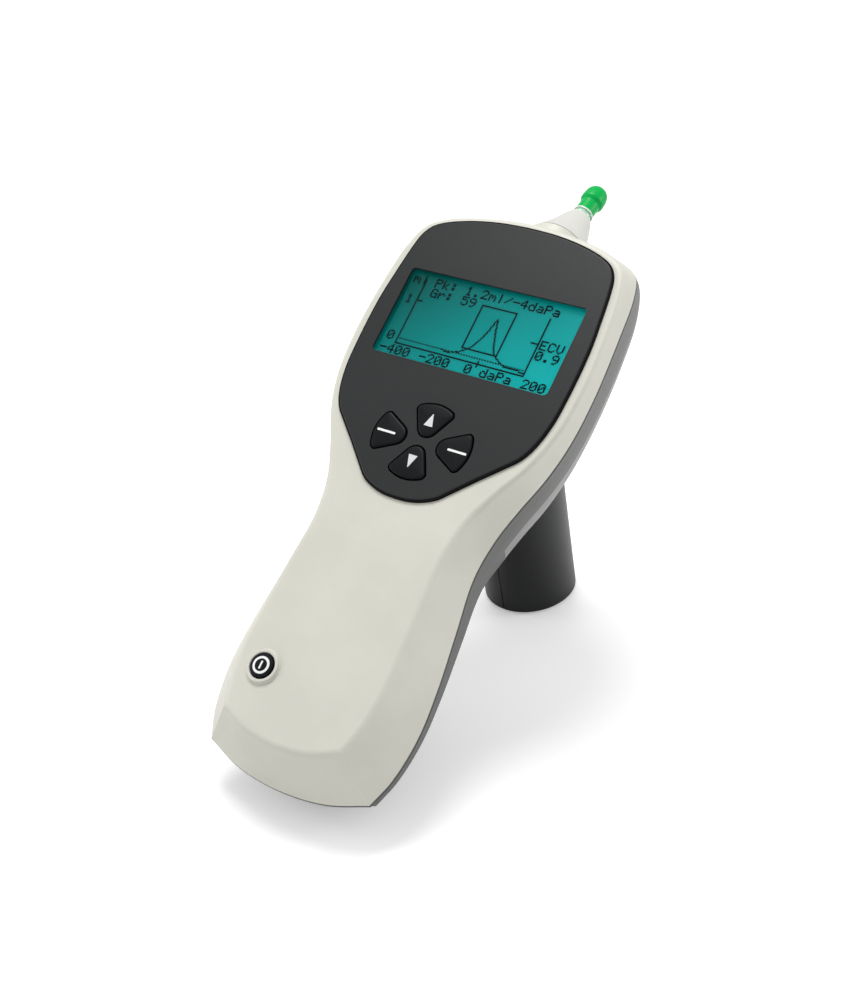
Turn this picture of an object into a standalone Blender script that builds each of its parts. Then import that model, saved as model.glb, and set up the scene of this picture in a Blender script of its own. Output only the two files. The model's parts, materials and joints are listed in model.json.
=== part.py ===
# Handheld tympanometer, standing on its leg and heel.
# Metres, +Z up, +Y towards the probe. The origin is the middle of the leg's foot.
# Body pieces are placed in body axes: y along the body, z out of the face plate,
# with zero at the middle of the display window's lower edge, on the face plate's surface.
from math import cos, pi, radians, sin, sqrt, tan

import bmesh
import bpy
from mathutils import Euler, Matrix, Vector

# Fits shared by the whole object
seam_gap = 0.0003           # between touching pieces
slide_gap = 0.0004          # round a piece that moves
overrun = 0.002             # how far a cutter passes the surface it cuts
beyond = 0.060              # half size of a cutter that takes everything on one side
screw_clearance = 0.0003

# Case plan at the face edge
head_half_width = 0.0416
neck_half_width = 0.0244
handle_half_width = 0.0263
head_reach = 0.0574
neck_back = 0.0560
heel_back = 0.1266

# Rows: share of the head's half width, share of the neck's, share of the length neck to front
head_outline_shares = (
    (0.000, 0.000, 1.000), (0.345, 0.000, 0.990), (0.690, 0.000, 0.962), (0.858, 0.000, 0.925),
    (0.935, 0.000, 0.858), (0.980, 0.000, 0.740), (1.000, 0.000, 0.564), (0.916, 0.084, 0.414),
    (0.699, 0.301, 0.304), (0.367, 0.633, 0.203), (0.114, 0.886, 0.110), (0.000, 1.000, 0.000),
)
# Rows: share of the neck's half width, share of the handle's, share of the length neck to heel
handle_outline_shares = (
    (0.550, 0.450, 0.227), (0.110, 0.890, 0.453), (0.000, 1.000, 0.637),
    (0.000, 0.943, 0.807), (0.000, 0.844, 0.921),
)
heel_outline_shares = ((0.000, 0.456, 0.980), (0.000, 0.000, 1.000))
outline_steps = 2           # points on each stretch of the case outline

# Case heights, below the face plate's surface
panel_rise = 0.0012         # the face plate stands this far above the upper case
face_edge_round = 0.0022
case_wall = 0.0018
parting_depth = 0.0100      # level of the seam between the shells, at the display's lower edge
parting_slope_share = 0.048 # the seam drops this much for each length towards the heel
parting_front_drop = 0.0055 # and this much more at the head's front
parting_drop_start = 0.0180
shoulder_depth = 0.0200     # widest level of the lower shell
cover_seam_depth = 0.0228
handle_depth = 0.0360
head_depth = 0.0390

# How far the seam level stands outside the face edge
head_flare = 0.0003
neck_flare = 0.0055
handle_flare = 0.0083
front_flare = 0.0031
heel_flare = 0.0084
# How far the shoulder level is from the seam level, outwards
shoulder_head_tuck = 0.0021
shoulder_neck_tuck = 0.0009
shoulder_handle_tuck = 0.0019
shoulder_front_bulge = 0.0015
shoulder_heel_tuck = 0.0010
underside_round = 0.0132
round_side_shares = (0.23, 0.55, 1.00)
round_end_shares = (0.13, 0.50, 1.00)
round_head_shares = (0.24, 0.58, 1.00)
round_depth_shares = (0.50, 0.87, 1.00)

# Standing pose
stand_tilt = radians(37.0)
heel_pad_stand = 0.0018
heel_pad_half_width = 0.0105
heel_pad_half_length = 0.0032
heel_pad_depth = 0.0030

# Face plate
panel_side = 0.0039          # case beside the face plate at its widest
panel_front = 0.0033
panel_half_width = head_half_width - panel_side
panel_top = head_reach - panel_front
panel_bottom = 0.0429
panel_thickness = 0.0018
panel_chamfer = 0.0003
panel_gap = 0.0004          # groove round the face plate
# Rows: share of the half width, then share of the reach above or below the window's lower edge
panel_upper_shares = (
    (0.000, 1.000), (0.270, 0.992), (0.530, 0.964), (0.753, 0.917), (0.850, 0.877),
    (0.906, 0.817), (0.935, 0.730), (0.970, 0.540), (0.995, 0.360), (1.000, 0.180), (0.995, 0.040),
)
panel_lower_shares = (
    (0.980, 0.150), (0.928, 0.350), (0.860, 0.470), (0.750, 0.570), (0.590, 0.705),
    (0.420, 0.855), (0.335, 0.925), (0.220, 0.972), (0.110, 0.995), (0.000, 1.000),
)

# Display
window_side = 0.0100         # case and face plate beside the display
window_front = 0.0255
window_half_width = head_half_width - window_side
window_low = 0.0009
window_high = head_reach - window_front
window_corner = 0.0014
window_margin = 0.0015      # rim of the lens under the face plate
lens_recess = 0.0011
lens_thickness = 0.0007
lcd_recess = 0.0022
lcd_thickness = 0.0018
backlight_thickness = 0.0020
lcd_frame_wall = 0.0024
lcd_frame_floor = 0.0006

# Keys: four petals round the cross centre
key_cross_y = -0.0237
key_tip_half = 0.0068
key_length = 0.0111
key_side_start = 0.0061     # left and right keys, inner end from the centre
key_end_start = 0.0018      # up and down keys, inner end from the centre
key_bulge = 0.0019
key_inner_half = 0.0020
key_corner_radius = 0.0011
key_inner_radius = 0.0022
key_arc_radius = 0.0060
key_rise = 0.0007
key_dome = 0.0005
key_travel = 0.0008
# Rows: share of the outline, share of the dome
key_crown_shares = ((0.93, 0.40), (0.75, 0.75), (0.45, 1.00))
# Rows: share of the radius, share of the dome
dome_shares = ((0.00, 1.00), (0.50, 0.85), (0.82, 0.50), (0.95, 0.20), (1.00, 0.00))
key_flange = 0.0008
key_flange_thickness = 0.0008

# Power button
power_x = -0.0148
power_y = -0.1050
power_radius = 0.0041
power_rise = 0.0003
power_dome = 0.0004
power_travel = 0.0006
collar_width = 0.0009
collar_height = 0.0011

# Board stack
mat_thickness = 0.0009
mat_half_width = 0.0200
mat_half_length = 0.0145
mat_corner = 0.0025
dome_height = 0.0009
dome_sheet_thickness = 0.0003
dome_sheet_inset = 0.0015
dome_radius = 0.0030
board_thickness = 0.0016
board_inset = 0.0022
tongue_back = 0.1120
tongue_half_width = 0.0080
tongue_root = 0.0020
wing_reach = 0.0190
wing_length = 0.0160
board_screw_radius = 0.0010
board_screw_head = 0.0017
board_head_height = 0.0010
board_screw_grip = 0.0035
board_boss_radius = 0.0021
board_boss_side = 0.0076    # inwards from the display's side
board_boss = (window_half_width - board_boss_side,
              window_high + lcd_frame_wall + board_boss_radius + slide_gap)
board_rim = 0.0022           # from a board screw to the board's front edge
board_front = board_boss[1] + board_rim
ribbon_half_width = 0.0030
ribbon_thickness = 0.0002
ribbon_foot = 0.0040
ribbon_bend = 0.0010
switch_half = 0.0030
chip_height = 0.0020
chip_half = 0.0060
chip_place = (0.0080, 0.0060)

# Case screws
screw_radius = 0.0011
screw_head_radius = 0.0021
screw_head_height = 0.0014
boss_radius = 0.0033
front_boss_back = 0.0146
front_boss = (0.0165, head_reach - front_boss_back)
neck_boss = (0.0120, -0.0570)
boss_seat = 0.0055          # from the outside to where the two halves of a boss meet
post_root = 0.0004          # a post reaches this far into the wall it stands on
screw_recess = 0.0017
screw_grip = 0.0050

# Cover under the head
cover_back = 0.0420

# Batteries
cell_radius = 0.0068
cell_length = 0.0492
cell_nub = 0.0010
cell_nub_radius = 0.0027
cell_count = 4
cell_middle_y = -0.0915
cell_depth = 0.0195
cell_gap = 0.00025
contact_room = 0.0021
spring_turns = 2
spring_outer = 0.0030
spring_inner = 0.0014
spring_wire = 0.00025
spring_points = 10          # on each turn
tray_half_width = 0.0244
tray_wall = 0.0008
tray_drop = 0.0110
wire_radius = 0.0010
wire_lead = 0.0040
door_half_width = 0.0225
door_front = 0.0668
door_back = 0.1185
rib_places = (-0.0800, -0.1030)
rib_half_width = 0.0150
rib_thickness = 0.0020
door_level = 0.0270

# Leg
leg_half_width = 0.0152
leg_half_depth = 0.0185
leg_top_y = 0.0089
leg_lean = radians(24.1)
leg_wall = 0.0022
leg_roof = 0.0040
leg_edge = 0.0010
leg_power = 2.00            # how square the section is
leg_steps = 32
foot_stand = 0.0006
foot_pad_thickness = 0.0026
leg_screw_x = 0.0065

# Probe
probe_depth = 0.0216
probe_tilt = radians(17.0)
collar_radius = 0.0112
collar_bore = 0.0090
collar_flange = 0.0006
collar_flange_thickness = 0.0015
collar_back = 0.0080
collar_front = 0.0040
collar_lip = 0.0070
collar_lip_thickness = 0.0014
cone_neck = 0.0199
cone_mouth = 0.0036
cone_wall = 0.0016
# Rows: share of the cone's height, share of the width between mouth and seat
cone_shares = ((0.000, 0.950), (0.060, 0.880), (0.160, 0.770), (0.300, 0.620),
               (0.460, 0.460), (0.640, 0.310), (0.800, 0.190), (0.920, 0.080), (1.000, 0.000))
cone_spigot = 0.0050
nozzle_radius = 0.0030
nozzle_ring = 0.0002
nozzle_ring_height = 0.0006
nozzle_bore = 0.0007
nozzle_pin = 0.0016
nozzle_pin_length = 0.0050
nozzle_spigot = 0.0022
nozzle_spigot_length = 0.0036
nozzle_band = 0.0026
tip_length = 0.0121
tip_radius = 0.0040
tip_stem = 0.0029
tip_bore = 0.0010
tip_clearance = 0.0003
# Rows: share of the tip's length, share of the width between stem and cap
tip_shares = ((0.400, 0.000), (0.440, 0.600), (0.490, 1.000), (0.620, 1.000),
              (0.750, 0.800), (0.870, 0.250), (0.950, -0.600), (1.000, -1.200))
probe_body_radius = 0.0050
probe_body_back = 0.0063
probe_body_front = 0.0110
probe_nose = 0.0019
probe_nose_end = 0.0160
probe_flange_thickness = 0.0015
gasket_radius = 0.0008
gasket_steps = 6
speaker_radius = 0.0027
speaker_length = 0.0058
speaker_x = 0.0026
speaker_rise = 0.0016
microphone_radius = 0.0020
microphone_x = 0.0030
microphone_length = 0.0030
inlet_drop = 0.0033

# Air pump
pump_x = -0.0170
pump_depth = 0.0240
motor_radius = 0.0065
motor_length = 0.0160
motor_back = 0.0370
cylinder_radius = 0.0068
cylinder_bore = 0.0056
cylinder_end = 0.0015
cylinder_length = 0.0340
nipple_radius = 0.0014
nipple_length = 0.0035
nipple_place = 0.0300        # along the body, from the cylinder's open end
nipple_bore = 0.0007
sensor_nipple = 0.0015
lead_radius = 0.0015
lead_length = 0.0259
piston_start = 0.0060
piston_head = 0.0040
piston_head_radius = 0.0052
piston_rod = 0.0032
piston_rod_length = 0.0200
groove_low = 0.0012
groove_high = 0.0028
groove_floor = 0.0041
seal_radius = 0.0006
bracket_thickness = 0.0013
bracket_half_width = 0.0068
upright_thickness = 0.0015
tube_radius = 0.0015
tube_lead = 0.0040
sensor_half = 0.0040
sensor_height = 0.0032

# Colours: base colour, roughness, metallic
finishes = {
    "cream_case": ((0.70, 0.69, 0.63), 0.42, 0.0),
    "grey_case": ((0.30, 0.31, 0.30), 0.45, 0.0),
    "light_grey_case": ((0.40, 0.41, 0.40), 0.45, 0.0),
    "face_plate": ((0.055, 0.058, 0.062), 0.40, 0.0),
    "key_black": ((0.016, 0.018, 0.022), 0.45, 0.0),
    "leg_grey": ((0.035, 0.038, 0.040), 0.50, 0.0),
    "clear_lens": ((0.80, 0.86, 0.86), 0.05, 0.0),
    "display_teal": ((0.0, 0.25, 0.24), 0.30, 0.0),
    "tip_green": ((0.0, 0.46, 0.10), 0.35, 0.0),
    "clear_nozzle": ((0.85, 0.90, 0.88), 0.08, 0.0),
    "cone_white": ((0.80, 0.80, 0.77), 0.40, 0.0),
    "rubber_black": ((0.02, 0.02, 0.02), 0.80, 0.0),
    "board_green": ((0.02, 0.16, 0.06), 0.50, 0.0),
    "chip_black": ((0.02, 0.02, 0.02), 0.50, 0.0),
    "bare_steel": ((0.60, 0.60, 0.62), 0.30, 1.0),
    "battery_skin": ((0.05, 0.05, 0.06), 0.35, 0.2),
    "inner_plastic": ((0.10, 0.10, 0.11), 0.50, 0.0),
    "white_plastic": ((0.75, 0.75, 0.73), 0.45, 0.0),
    "flex_amber": ((0.50, 0.25, 0.05), 0.40, 0.0),
    "clear_tube": ((0.75, 0.78, 0.78), 0.25, 0.0),
}


# Scene and helpers

def clear_scene():
    for item in list(bpy.data.objects):
        bpy.data.objects.remove(item, do_unlink=True)


def new_collection(name, hidden=False):
    group = bpy.data.collections.new(name)
    bpy.context.scene.collection.children.link(group)
    group.hide_render = hidden
    return group


def make_material(name):
    colour, roughness, metallic = finishes[name]
    material = bpy.data.materials.new(name)
    material.use_nodes = True
    shader = material.node_tree.nodes["Principled BSDF"]
    shader.inputs["Base Color"].default_value = (*colour, 1.0)
    shader.inputs["Roughness"].default_value = roughness
    shader.inputs["Metallic"].default_value = metallic
    material.diffuse_color = (*colour, 1.0)
    return material


clear_scene()
parts = new_collection("tympanometer")
cutters = new_collection("cutters", hidden=True)
materials = {name: make_material(name) for name in finishes}


def place(obj, axes, at=(0, 0, 0), turn=(0, 0, 0)):
    obj.matrix_world = axes @ Matrix.Translation(at) @ Euler(turn).to_matrix().to_4x4()
    return obj


def mesh_object(name, bm, axes, finish=None, at=(0, 0, 0), turn=(0, 0, 0)):
    """Turns a bmesh into a part, or into a hidden cutter when it has no finish."""
    bmesh.ops.recalc_face_normals(bm, faces=bm.faces)
    mesh = bpy.data.meshes.new(name)
    bm.to_mesh(mesh)
    bm.free()
    obj = bpy.data.objects.new(name, mesh)
    if finish:
        parts.objects.link(obj)
        mesh.materials.append(materials[finish])
        mesh.shade_smooth()
        mesh.set_sharp_from_angle(angle=radians(35))
    else:
        cutters.objects.link(obj)
        obj.hide_render = True
        obj.display_type = "WIRE"
    return place(obj, axes, at, turn)


def combine(obj, other, operation):
    """Adds a Boolean that cuts, joins or keeps what is shared."""
    modifier = obj.modifiers.new(other.name, "BOOLEAN")
    modifier.operation = operation
    modifier.solver = "EXACT"
    modifier.object = other


def cut(obj, *others):
    for other in others:
        combine(obj, other, "DIFFERENCE")


def join(obj, *others):
    for other in others:
        combine(obj, other, "UNION")


def ring_solid(rings, first_bent=False, last_bent=False):
    """Closed body through rings with equal numbers of points; a bent end curves from front to back."""
    bm = bmesh.new()
    loops = [[bm.verts.new(point) for point in ring] for ring in rings]
    for low, high in zip(loops, loops[1:]):
        for i in range(len(low)):
            j = (i + 1) % len(low)
            bm.faces.new((low[i], low[j], high[j], high[i]))
    for loop, bent, step in ((loops[0], first_bent, -1), (loops[-1], last_bent, 1)):
        if bent:
            close_across(bm, loop, step)
        else:
            bm.faces.new(loop[::step])
    return bm


def close_across(bm, loop, step):
    """Strips from side to side; the step's sign sets which way they face."""
    count = len(loop)
    front = max(range(count), key=lambda i: loop[i].co.y)
    for i in range(count // 2):
        corners = [loop[front - i], loop[(front + i) % count], loop[(front + i + 1) % count],
                   loop[front - i - 1]]
        corners = [corner for k, corner in enumerate(corners) if corner not in corners[:k]]
        bm.faces.new(corners[::step])


def add_box(bm, low, high):
    size = [b - a for a, b in zip(low, high)]
    middle = [(a + b) / 2 for a, b in zip(low, high)]
    matrix = Matrix.Translation(middle) @ Matrix.Diagonal((*size, 1))
    bmesh.ops.create_cube(bm, size=1, matrix=matrix)


def box_mesh(low, high):
    bm = bmesh.new()
    add_box(bm, low, high)
    return bm


def add_rod(bm, start, end, radius, steps=16):
    start, end = Vector(start), Vector(end)
    along = end - start
    turn = Vector((0, 0, 1)).rotation_difference(along).to_matrix().to_4x4()
    matrix = Matrix.Translation((start + end) / 2) @ turn
    bmesh.ops.create_cone(bm, cap_ends=True, segments=steps, radius1=radius, radius2=radius,
                          depth=along.length, matrix=matrix)


def rod_mesh(start, end, radius, steps=16):
    bm = bmesh.new()
    add_rod(bm, start, end, radius, steps)
    return bm


def turned(name, profile, axes, finish, at=(0, 0, 0), turn=(0, 0, 0), steps=24):
    """Profile of (radius, height) points, down the outer side, spun about the local Z axis."""
    bm = bmesh.new()
    verts = [bm.verts.new((radius, 0, height)) for radius, height in profile]
    for a, b in zip(verts, verts[1:]):
        bm.edges.new((a, b))
    if profile[0][0] > 0:
        bm.edges.new((verts[-1], verts[0]))
    mesh = bpy.data.meshes.new(name)
    bm.to_mesh(mesh)
    bm.free()
    obj = bpy.data.objects.new(name, mesh)
    screw = obj.modifiers.new("turn", "SCREW")
    screw.steps = steps
    screw.render_steps = steps
    screw.use_merge_vertices = True
    screw.merge_threshold = 0.00001
    screw.use_smooth_shade = True
    if finish:
        parts.objects.link(obj)
        mesh.materials.append(materials[finish])
    else:
        cutters.objects.link(obj)
        obj.hide_render = True
        obj.display_type = "WIRE"
    return place(obj, axes, at, turn)


def tube(name, route, radius, axes, finish, resolution):
    """A bent tube or wire along a line of points, with filled ends."""
    curve = bpy.data.curves.new(name, "CURVE")
    curve.dimensions = "3D"
    curve.bevel_depth = radius
    curve.bevel_resolution = resolution
    curve.use_fill_caps = True
    line = curve.splines.new("POLY")
    line.points.add(len(route) - 1)
    for point, spot in zip(line.points, route):
        point.co = (*spot, 1)
    curve.materials.append(materials[finish])
    obj = bpy.data.objects.new(name, curve)
    parts.objects.link(obj)
    return place(obj, axes)


def plate(name, outline, low, high, axes, finish=None, at=(0, 0, 0), turn=(0, 0, 0)):
    """A flat outline as a filled curve, extruded between two heights, made a mesh."""
    curve = bpy.data.curves.new(name, "CURVE")
    curve.dimensions = "2D"
    curve.fill_mode = "BOTH"
    curve.extrude = (high - low) / 2
    line = curve.splines.new("POLY")
    line.points.add(len(outline) - 1)
    for point, spot in zip(line.points, outline):
        point.co = (spot[0], spot[1], 0, 1)
    line.use_cyclic_u = True
    flat = bpy.data.objects.new(name, curve)
    bpy.context.scene.collection.objects.link(flat)
    bpy.context.view_layer.update()
    evaluated = flat.evaluated_get(bpy.context.evaluated_depsgraph_get())
    mesh = bpy.data.meshes.new_from_object(evaluated)
    bm = bmesh.new()
    bm.from_mesh(mesh)
    bmesh.ops.remove_doubles(bm, verts=bm.verts, dist=0.00001)
    bmesh.ops.translate(bm, verts=bm.verts, vec=(0, 0, (low + high) / 2))
    bpy.data.objects.remove(flat)
    bpy.data.curves.remove(curve)
    bpy.data.meshes.remove(mesh)
    return mesh_object(name, bm, axes, finish, at, turn)


# Outlines

def smooth_line(points, steps):
    """Open centripetal Catmull-Rom curve through the points."""
    points = [Vector(p) for p in points]
    padded = [points[0] * 2 - points[1]] + points + [points[-1] * 2 - points[-2]]
    line = []
    for p0, p1, p2, p3 in zip(padded, padded[1:], padded[2:], padded[3:]):
        t1 = sqrt((p1 - p0).length)
        t2 = t1 + sqrt((p2 - p1).length)
        t3 = t2 + sqrt((p3 - p2).length)
        for step in range(steps):
            t = t1 + (t2 - t1) * step / steps
            a1 = p0 * ((t1 - t) / t1) + p1 * (t / t1)
            a2 = p1 * ((t2 - t) / (t2 - t1)) + p2 * ((t - t1) / (t2 - t1))
            a3 = p2 * ((t3 - t) / (t3 - t2)) + p3 * ((t - t2) / (t3 - t2))
            b1 = a1 * ((t2 - t) / t2) + a2 * (t / t2)
            b2 = a2 * ((t3 - t) / (t3 - t1)) + a3 * ((t - t1) / (t3 - t1))
            line.append(b1 * ((t2 - t) / (t2 - t1)) + b2 * ((t - t1) / (t2 - t1)))
    return line + [points[-1]]


def mirrored(half):
    """Right half from front to back, carried round the left side to the front again."""
    return half + [Vector((-p[0], p[1])) for p in reversed(half[1:-1])]


def moved_out(outline, distance):
    """Outline with each point moved out along its own normal; it runs clockwise."""
    count = len(outline)
    result = []
    for i, point in enumerate(outline):
        before = (point - outline[i - 1]).normalized()
        after = (outline[(i + 1) % count] - point).normalized()
        tangent = (before + after).normalized()
        stretch = max(tangent.dot(after), 0.5)
        result.append(point + Vector((-tangent.y, tangent.x)) * (distance / stretch))
    return result


def rounded(corners, radii, steps=3):
    """Polygon given clockwise, with each corner turned into an arc of its own radius."""
    count = len(corners)
    points = [Vector(c) for c in corners]
    result = []
    for i, (point, radius) in enumerate(zip(points, radii)):
        back = (points[i - 1] - point).normalized()
        ahead = (points[(i + 1) % count] - point).normalized()
        half = back.angle(ahead) / 2
        middle = point + (back + ahead).normalized() * (radius / sin(half))
        start = point + back * (radius / tan(half)) - middle
        end = point + ahead * (radius / tan(half)) - middle
        sweep = start.angle_signed(end)
        for step in range(steps + 1):
            angle = -sweep * step / steps
            turned_start = Vector((start.x * cos(angle) - start.y * sin(angle),
                                   start.x * sin(angle) + start.y * cos(angle)))
            result.append(middle + turned_start)
    return result


def rectangle(half_width, low, high, radius, steps=3):
    corners = ((-half_width, low), (-half_width, high), (half_width, high), (half_width, low))
    return rounded(corners, [radius] * len(corners), steps)


def at_height(outline, height):
    return [Vector((p[0], p[1], height)) for p in outline]


# Case sections

def case_outline(head, neck, handle, front, heel):
    """Plan of the case from its half widths and its reach, clockwise from the front middle."""
    length = front + neck_back
    side = [(a * head + b * neck, c * length - neck_back) for a, b, c in head_outline_shares]
    length = heel - neck_back
    side += [(a * neck + b * handle, -neck_back - c * length) for a, b, c in handle_outline_shares]
    end = [(b * handle, -neck_back - c * length) for a, b, c in heel_outline_shares]
    left = [(-x, y) for x, y in reversed(side[1:])]
    round_the_head = smooth_line(left + side, outline_steps)
    along_the_heel = smooth_line([side[-1]] + end + [(-x, y) for x, y in reversed(end[:-1])] + [left[0]],
                                 outline_steps)
    return round_the_head + along_the_heel[1:-1]


def face_sizes(inset):
    return (head_half_width - inset, neck_half_width - inset, handle_half_width - inset,
            head_reach - inset, heel_back - inset)


def seam_sizes(inset):
    return (head_half_width + head_flare - inset, neck_half_width + neck_flare - inset,
            handle_half_width + handle_flare - inset, head_reach + front_flare - inset,
            heel_back + heel_flare - inset)


def shoulder_sizes(inset):
    head, neck, handle, front, heel = seam_sizes(inset)
    return (head - shoulder_head_tuck, neck - shoulder_neck_tuck, handle - shoulder_handle_tuck,
            front + shoulder_front_bulge, heel - shoulder_heel_tuck)


def round_sizes(level, inset):
    head, neck, handle, front, heel = shoulder_sizes(inset)
    side = round_side_shares[level] * underside_round
    end = round_end_shares[level] * underside_round
    return (head - round_head_shares[level] * underside_round, neck - side, handle - side, front - end,
            heel - end)


def seam_height(y):
    share = max(y - parting_drop_start, 0) / (head_reach - parting_drop_start)
    return -parting_depth + parting_slope_share * y - parting_front_drop * share * share


def underside_height(y):
    """Bottom of the case: deeper under the head than under the handle."""
    share = min(max((y + neck_back) / (neck_back - cover_back), 0), 1)
    share = share * share * (3 - 2 * share)
    return -(handle_depth + share * (head_depth - handle_depth))


def seam_ring(sizes, shift):
    return [Vector((p[0], p[1], seam_height(p[1]) + shift)) for p in case_outline(*sizes)]


def round_ring(level, inset):
    ring = []
    for p in case_outline(*round_sizes(level, inset)):
        drop = -shoulder_depth - underside_height(p[1]) - inset
        ring.append(Vector((p[0], p[1], -shoulder_depth - round_depth_shares[level] * drop)))
    return ring


case_top = -panel_rise
case_inside = case_top - case_wall
rounding = 1 - cos(radians(45))


def upper_outer():
    return ring_solid([
        seam_ring(seam_sizes(0), seam_gap / 2),
        at_height(case_outline(*face_sizes(0)), case_top - face_edge_round),
        at_height(case_outline(*face_sizes(face_edge_round * rounding)),
                  case_top - face_edge_round * rounding),
        at_height(case_outline(*face_sizes(face_edge_round)), case_top),
    ], first_bent=True)


def upper_inner():
    return ring_solid([
        seam_ring(seam_sizes(case_wall), -overrun),
        at_height(case_outline(*face_sizes(case_wall)), case_inside - face_edge_round),
        at_height(case_outline(*face_sizes(face_edge_round + case_wall)), case_inside),
    ], first_bent=True)


def lower_rings(inset, top_shift):
    return [
        seam_ring(seam_sizes(inset), top_shift),
        at_height(case_outline(*shoulder_sizes(inset)), -shoulder_depth),
        round_ring(0, inset),
        round_ring(1, inset),
        round_ring(2, inset),
    ]


# Standing pose: the ground plane touches the heel pads, and the leg ends on it
down = Vector((0, -sin(stand_tilt), -cos(stand_tilt)))
forward = Vector((0, cos(stand_tilt), -sin(stand_tilt)))
heel_line = max((p for ring in lower_rings(0, 0) for p in ring), key=lambda p: p.dot(down))
ground = heel_line.dot(down) + heel_pad_stand

leg_top = Vector((0, leg_top_y, -head_depth))
leg_line = Vector((0, -sin(leg_lean), -cos(leg_lean)))
leg_length = (ground - leg_top.dot(down)) / leg_line.dot(down)
foot = leg_top + leg_line * leg_length

body_axes = Matrix.Rotation(stand_tilt, 4, "X") @ Matrix.Translation(-foot)
probe_start = Vector((0, head_reach, -probe_depth))
probe_turn = Matrix.Rotation(-pi / 2 - probe_tilt, 4, "X")
probe_axes = body_axes @ Matrix.Translation(probe_start) @ probe_turn
pump_line = Vector((pump_x, 0, -pump_depth))
pump_axes = body_axes @ Matrix.Translation(pump_line) @ Matrix.Rotation(-pi / 2, 4, "X")


def probe_point(x, rise, along):
    """Body place of a point given across, above and along the probe's axis."""
    ahead = Vector((0, cos(probe_tilt), -sin(probe_tilt)))
    above = Vector((0, sin(probe_tilt), cos(probe_tilt)))
    return probe_start + Vector((x, 0, 0)) + above * rise + ahead * along


# Face plate, display and keys

def panel_outline(inset=0.0):
    upper = [(x * panel_half_width, y * panel_top) for x, y in panel_upper_shares]
    lower = [(x * panel_half_width, -y * panel_bottom) for x, y in panel_lower_shares]
    half = smooth_line(upper + lower, 1)
    return moved_out(mirrored(half), -inset)


def window_outline(margin):
    return rectangle(window_half_width + margin, window_low - margin, window_high + margin, window_corner)


def key_places():
    """Name, start distance and turn of each key, from the cross centre."""
    return (("up_button", key_end_start, 0.0), ("right_button", key_side_start, -pi / 2),
            ("down_button", key_end_start, pi), ("left_button", key_side_start, pi / 2))


def key_outline(start, grow=0.0):
    """A petal that points along +y, with its inner end at the start distance."""
    side = start + key_length - key_bulge
    peak = start + key_length
    shoulder = key_tip_half / 2
    corners = ((-key_inner_half, start), (-key_tip_half, side), (-shoulder, peak - key_bulge / 4),
               (shoulder, peak - key_bulge / 4), (key_tip_half, side), (key_inner_half, start))
    half = (key_inner_radius, key_corner_radius, key_arc_radius)
    return moved_out(rounded(corners, half + half[::-1], 2), grow)


def key_middle(start):
    return start + key_length / 2


key_flange_top = case_inside - seam_gap
key_low = key_flange_top - key_flange_thickness
mat_top = key_low - key_travel - seam_gap
mat_low = mat_top - mat_thickness
board_top = mat_low - seam_gap - dome_height - seam_gap
board_low = board_top - board_thickness
panel_seat = -panel_thickness - seam_gap


def make_face_plate():
    outer = ring_solid([
        at_height(panel_outline(), -panel_thickness),
        at_height(panel_outline(), -panel_chamfer),
        at_height(panel_outline(panel_chamfer), 0.0),
    ])
    panel = mesh_object("front_panel", outer, body_axes, "face_plate")
    window = plate("window_cut", window_outline(0), -panel_thickness - overrun, overrun, body_axes)
    pocket = plate("lens_pocket", window_outline(window_margin + seam_gap), -panel_thickness - overrun,
                   -lens_recess + seam_gap, body_axes)
    cut(panel, window, pocket)
    for name, start, turn in key_places():
        hole = plate(name + "_hole", key_outline(start, slide_gap), key_low - overrun, overrun, body_axes,
                     at=(0, key_cross_y, 0), turn=(0, 0, turn))
        cut(panel, hole)
    return panel, window


def make_display():
    plate("display_window", window_outline(window_margin), -lens_recess - lens_thickness, -lens_recess,
          body_axes, "clear_lens")
    inset = seam_gap + seam_gap / 2
    glass_low = -lcd_recess - lcd_thickness
    plate("lcd_glass", window_outline(-inset), glass_low, -lcd_recess, body_axes, "display_teal")
    light_low = glass_low - seam_gap - backlight_thickness
    plate("lcd_backlight", window_outline(-inset), light_low, glass_low - seam_gap, body_axes,
          "white_plastic")
    frame_low = light_low - seam_gap - lcd_frame_floor
    frame = plate("lcd_frame", window_outline(lcd_frame_wall), frame_low, case_inside - seam_gap, body_axes,
                  "bare_steel")
    pocket = plate("frame_pocket", window_outline(0), light_low - seam_gap, overrun, body_axes)
    cut(frame, pocket)


def make_keys():
    for name, start, turn in key_places():
        middle = key_middle(start)

        def ring(grow, share, height):
            return [Vector((p[0] * share, (p[1] - middle) * share, height)) for p in key_outline(start, grow)]

        rings = [ring(key_flange, 1, key_low), ring(key_flange, 1, key_flange_top),
                 ring(0, 1, key_flange_top), ring(0, 1, key_rise - key_dome)]
        rings += [ring(0, a, key_rise - key_dome * (1 - b)) for a, b in key_crown_shares]
        mesh_object(name, ring_solid(rings), body_axes, "key_black",
                    at=(-sin(turn) * middle, key_cross_y + cos(turn) * middle, 0), turn=(0, 0, turn))


def make_key_switches():
    mat = rectangle(mat_half_width, key_cross_y - mat_half_length, key_cross_y + mat_half_length, mat_corner)
    plate("keypad_mat", mat, mat_low, mat_top, body_axes, "rubber_black")
    domes = bmesh.new()
    low = board_top + seam_gap
    for name, start, turn in key_places():
        x, y = -sin(turn) * key_middle(start), key_cross_y + cos(turn) * key_middle(start)
        add_rod(domes, (x, y, low + dome_sheet_thickness / 2), (x, y, low + dome_height), dome_radius, 12)
    sheet = plate("dome_sheet", moved_out(mat, -dome_sheet_inset), low, low + dome_sheet_thickness, body_axes,
                  "bare_steel")
    join(sheet, mesh_object("domes", domes, body_axes))


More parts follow.
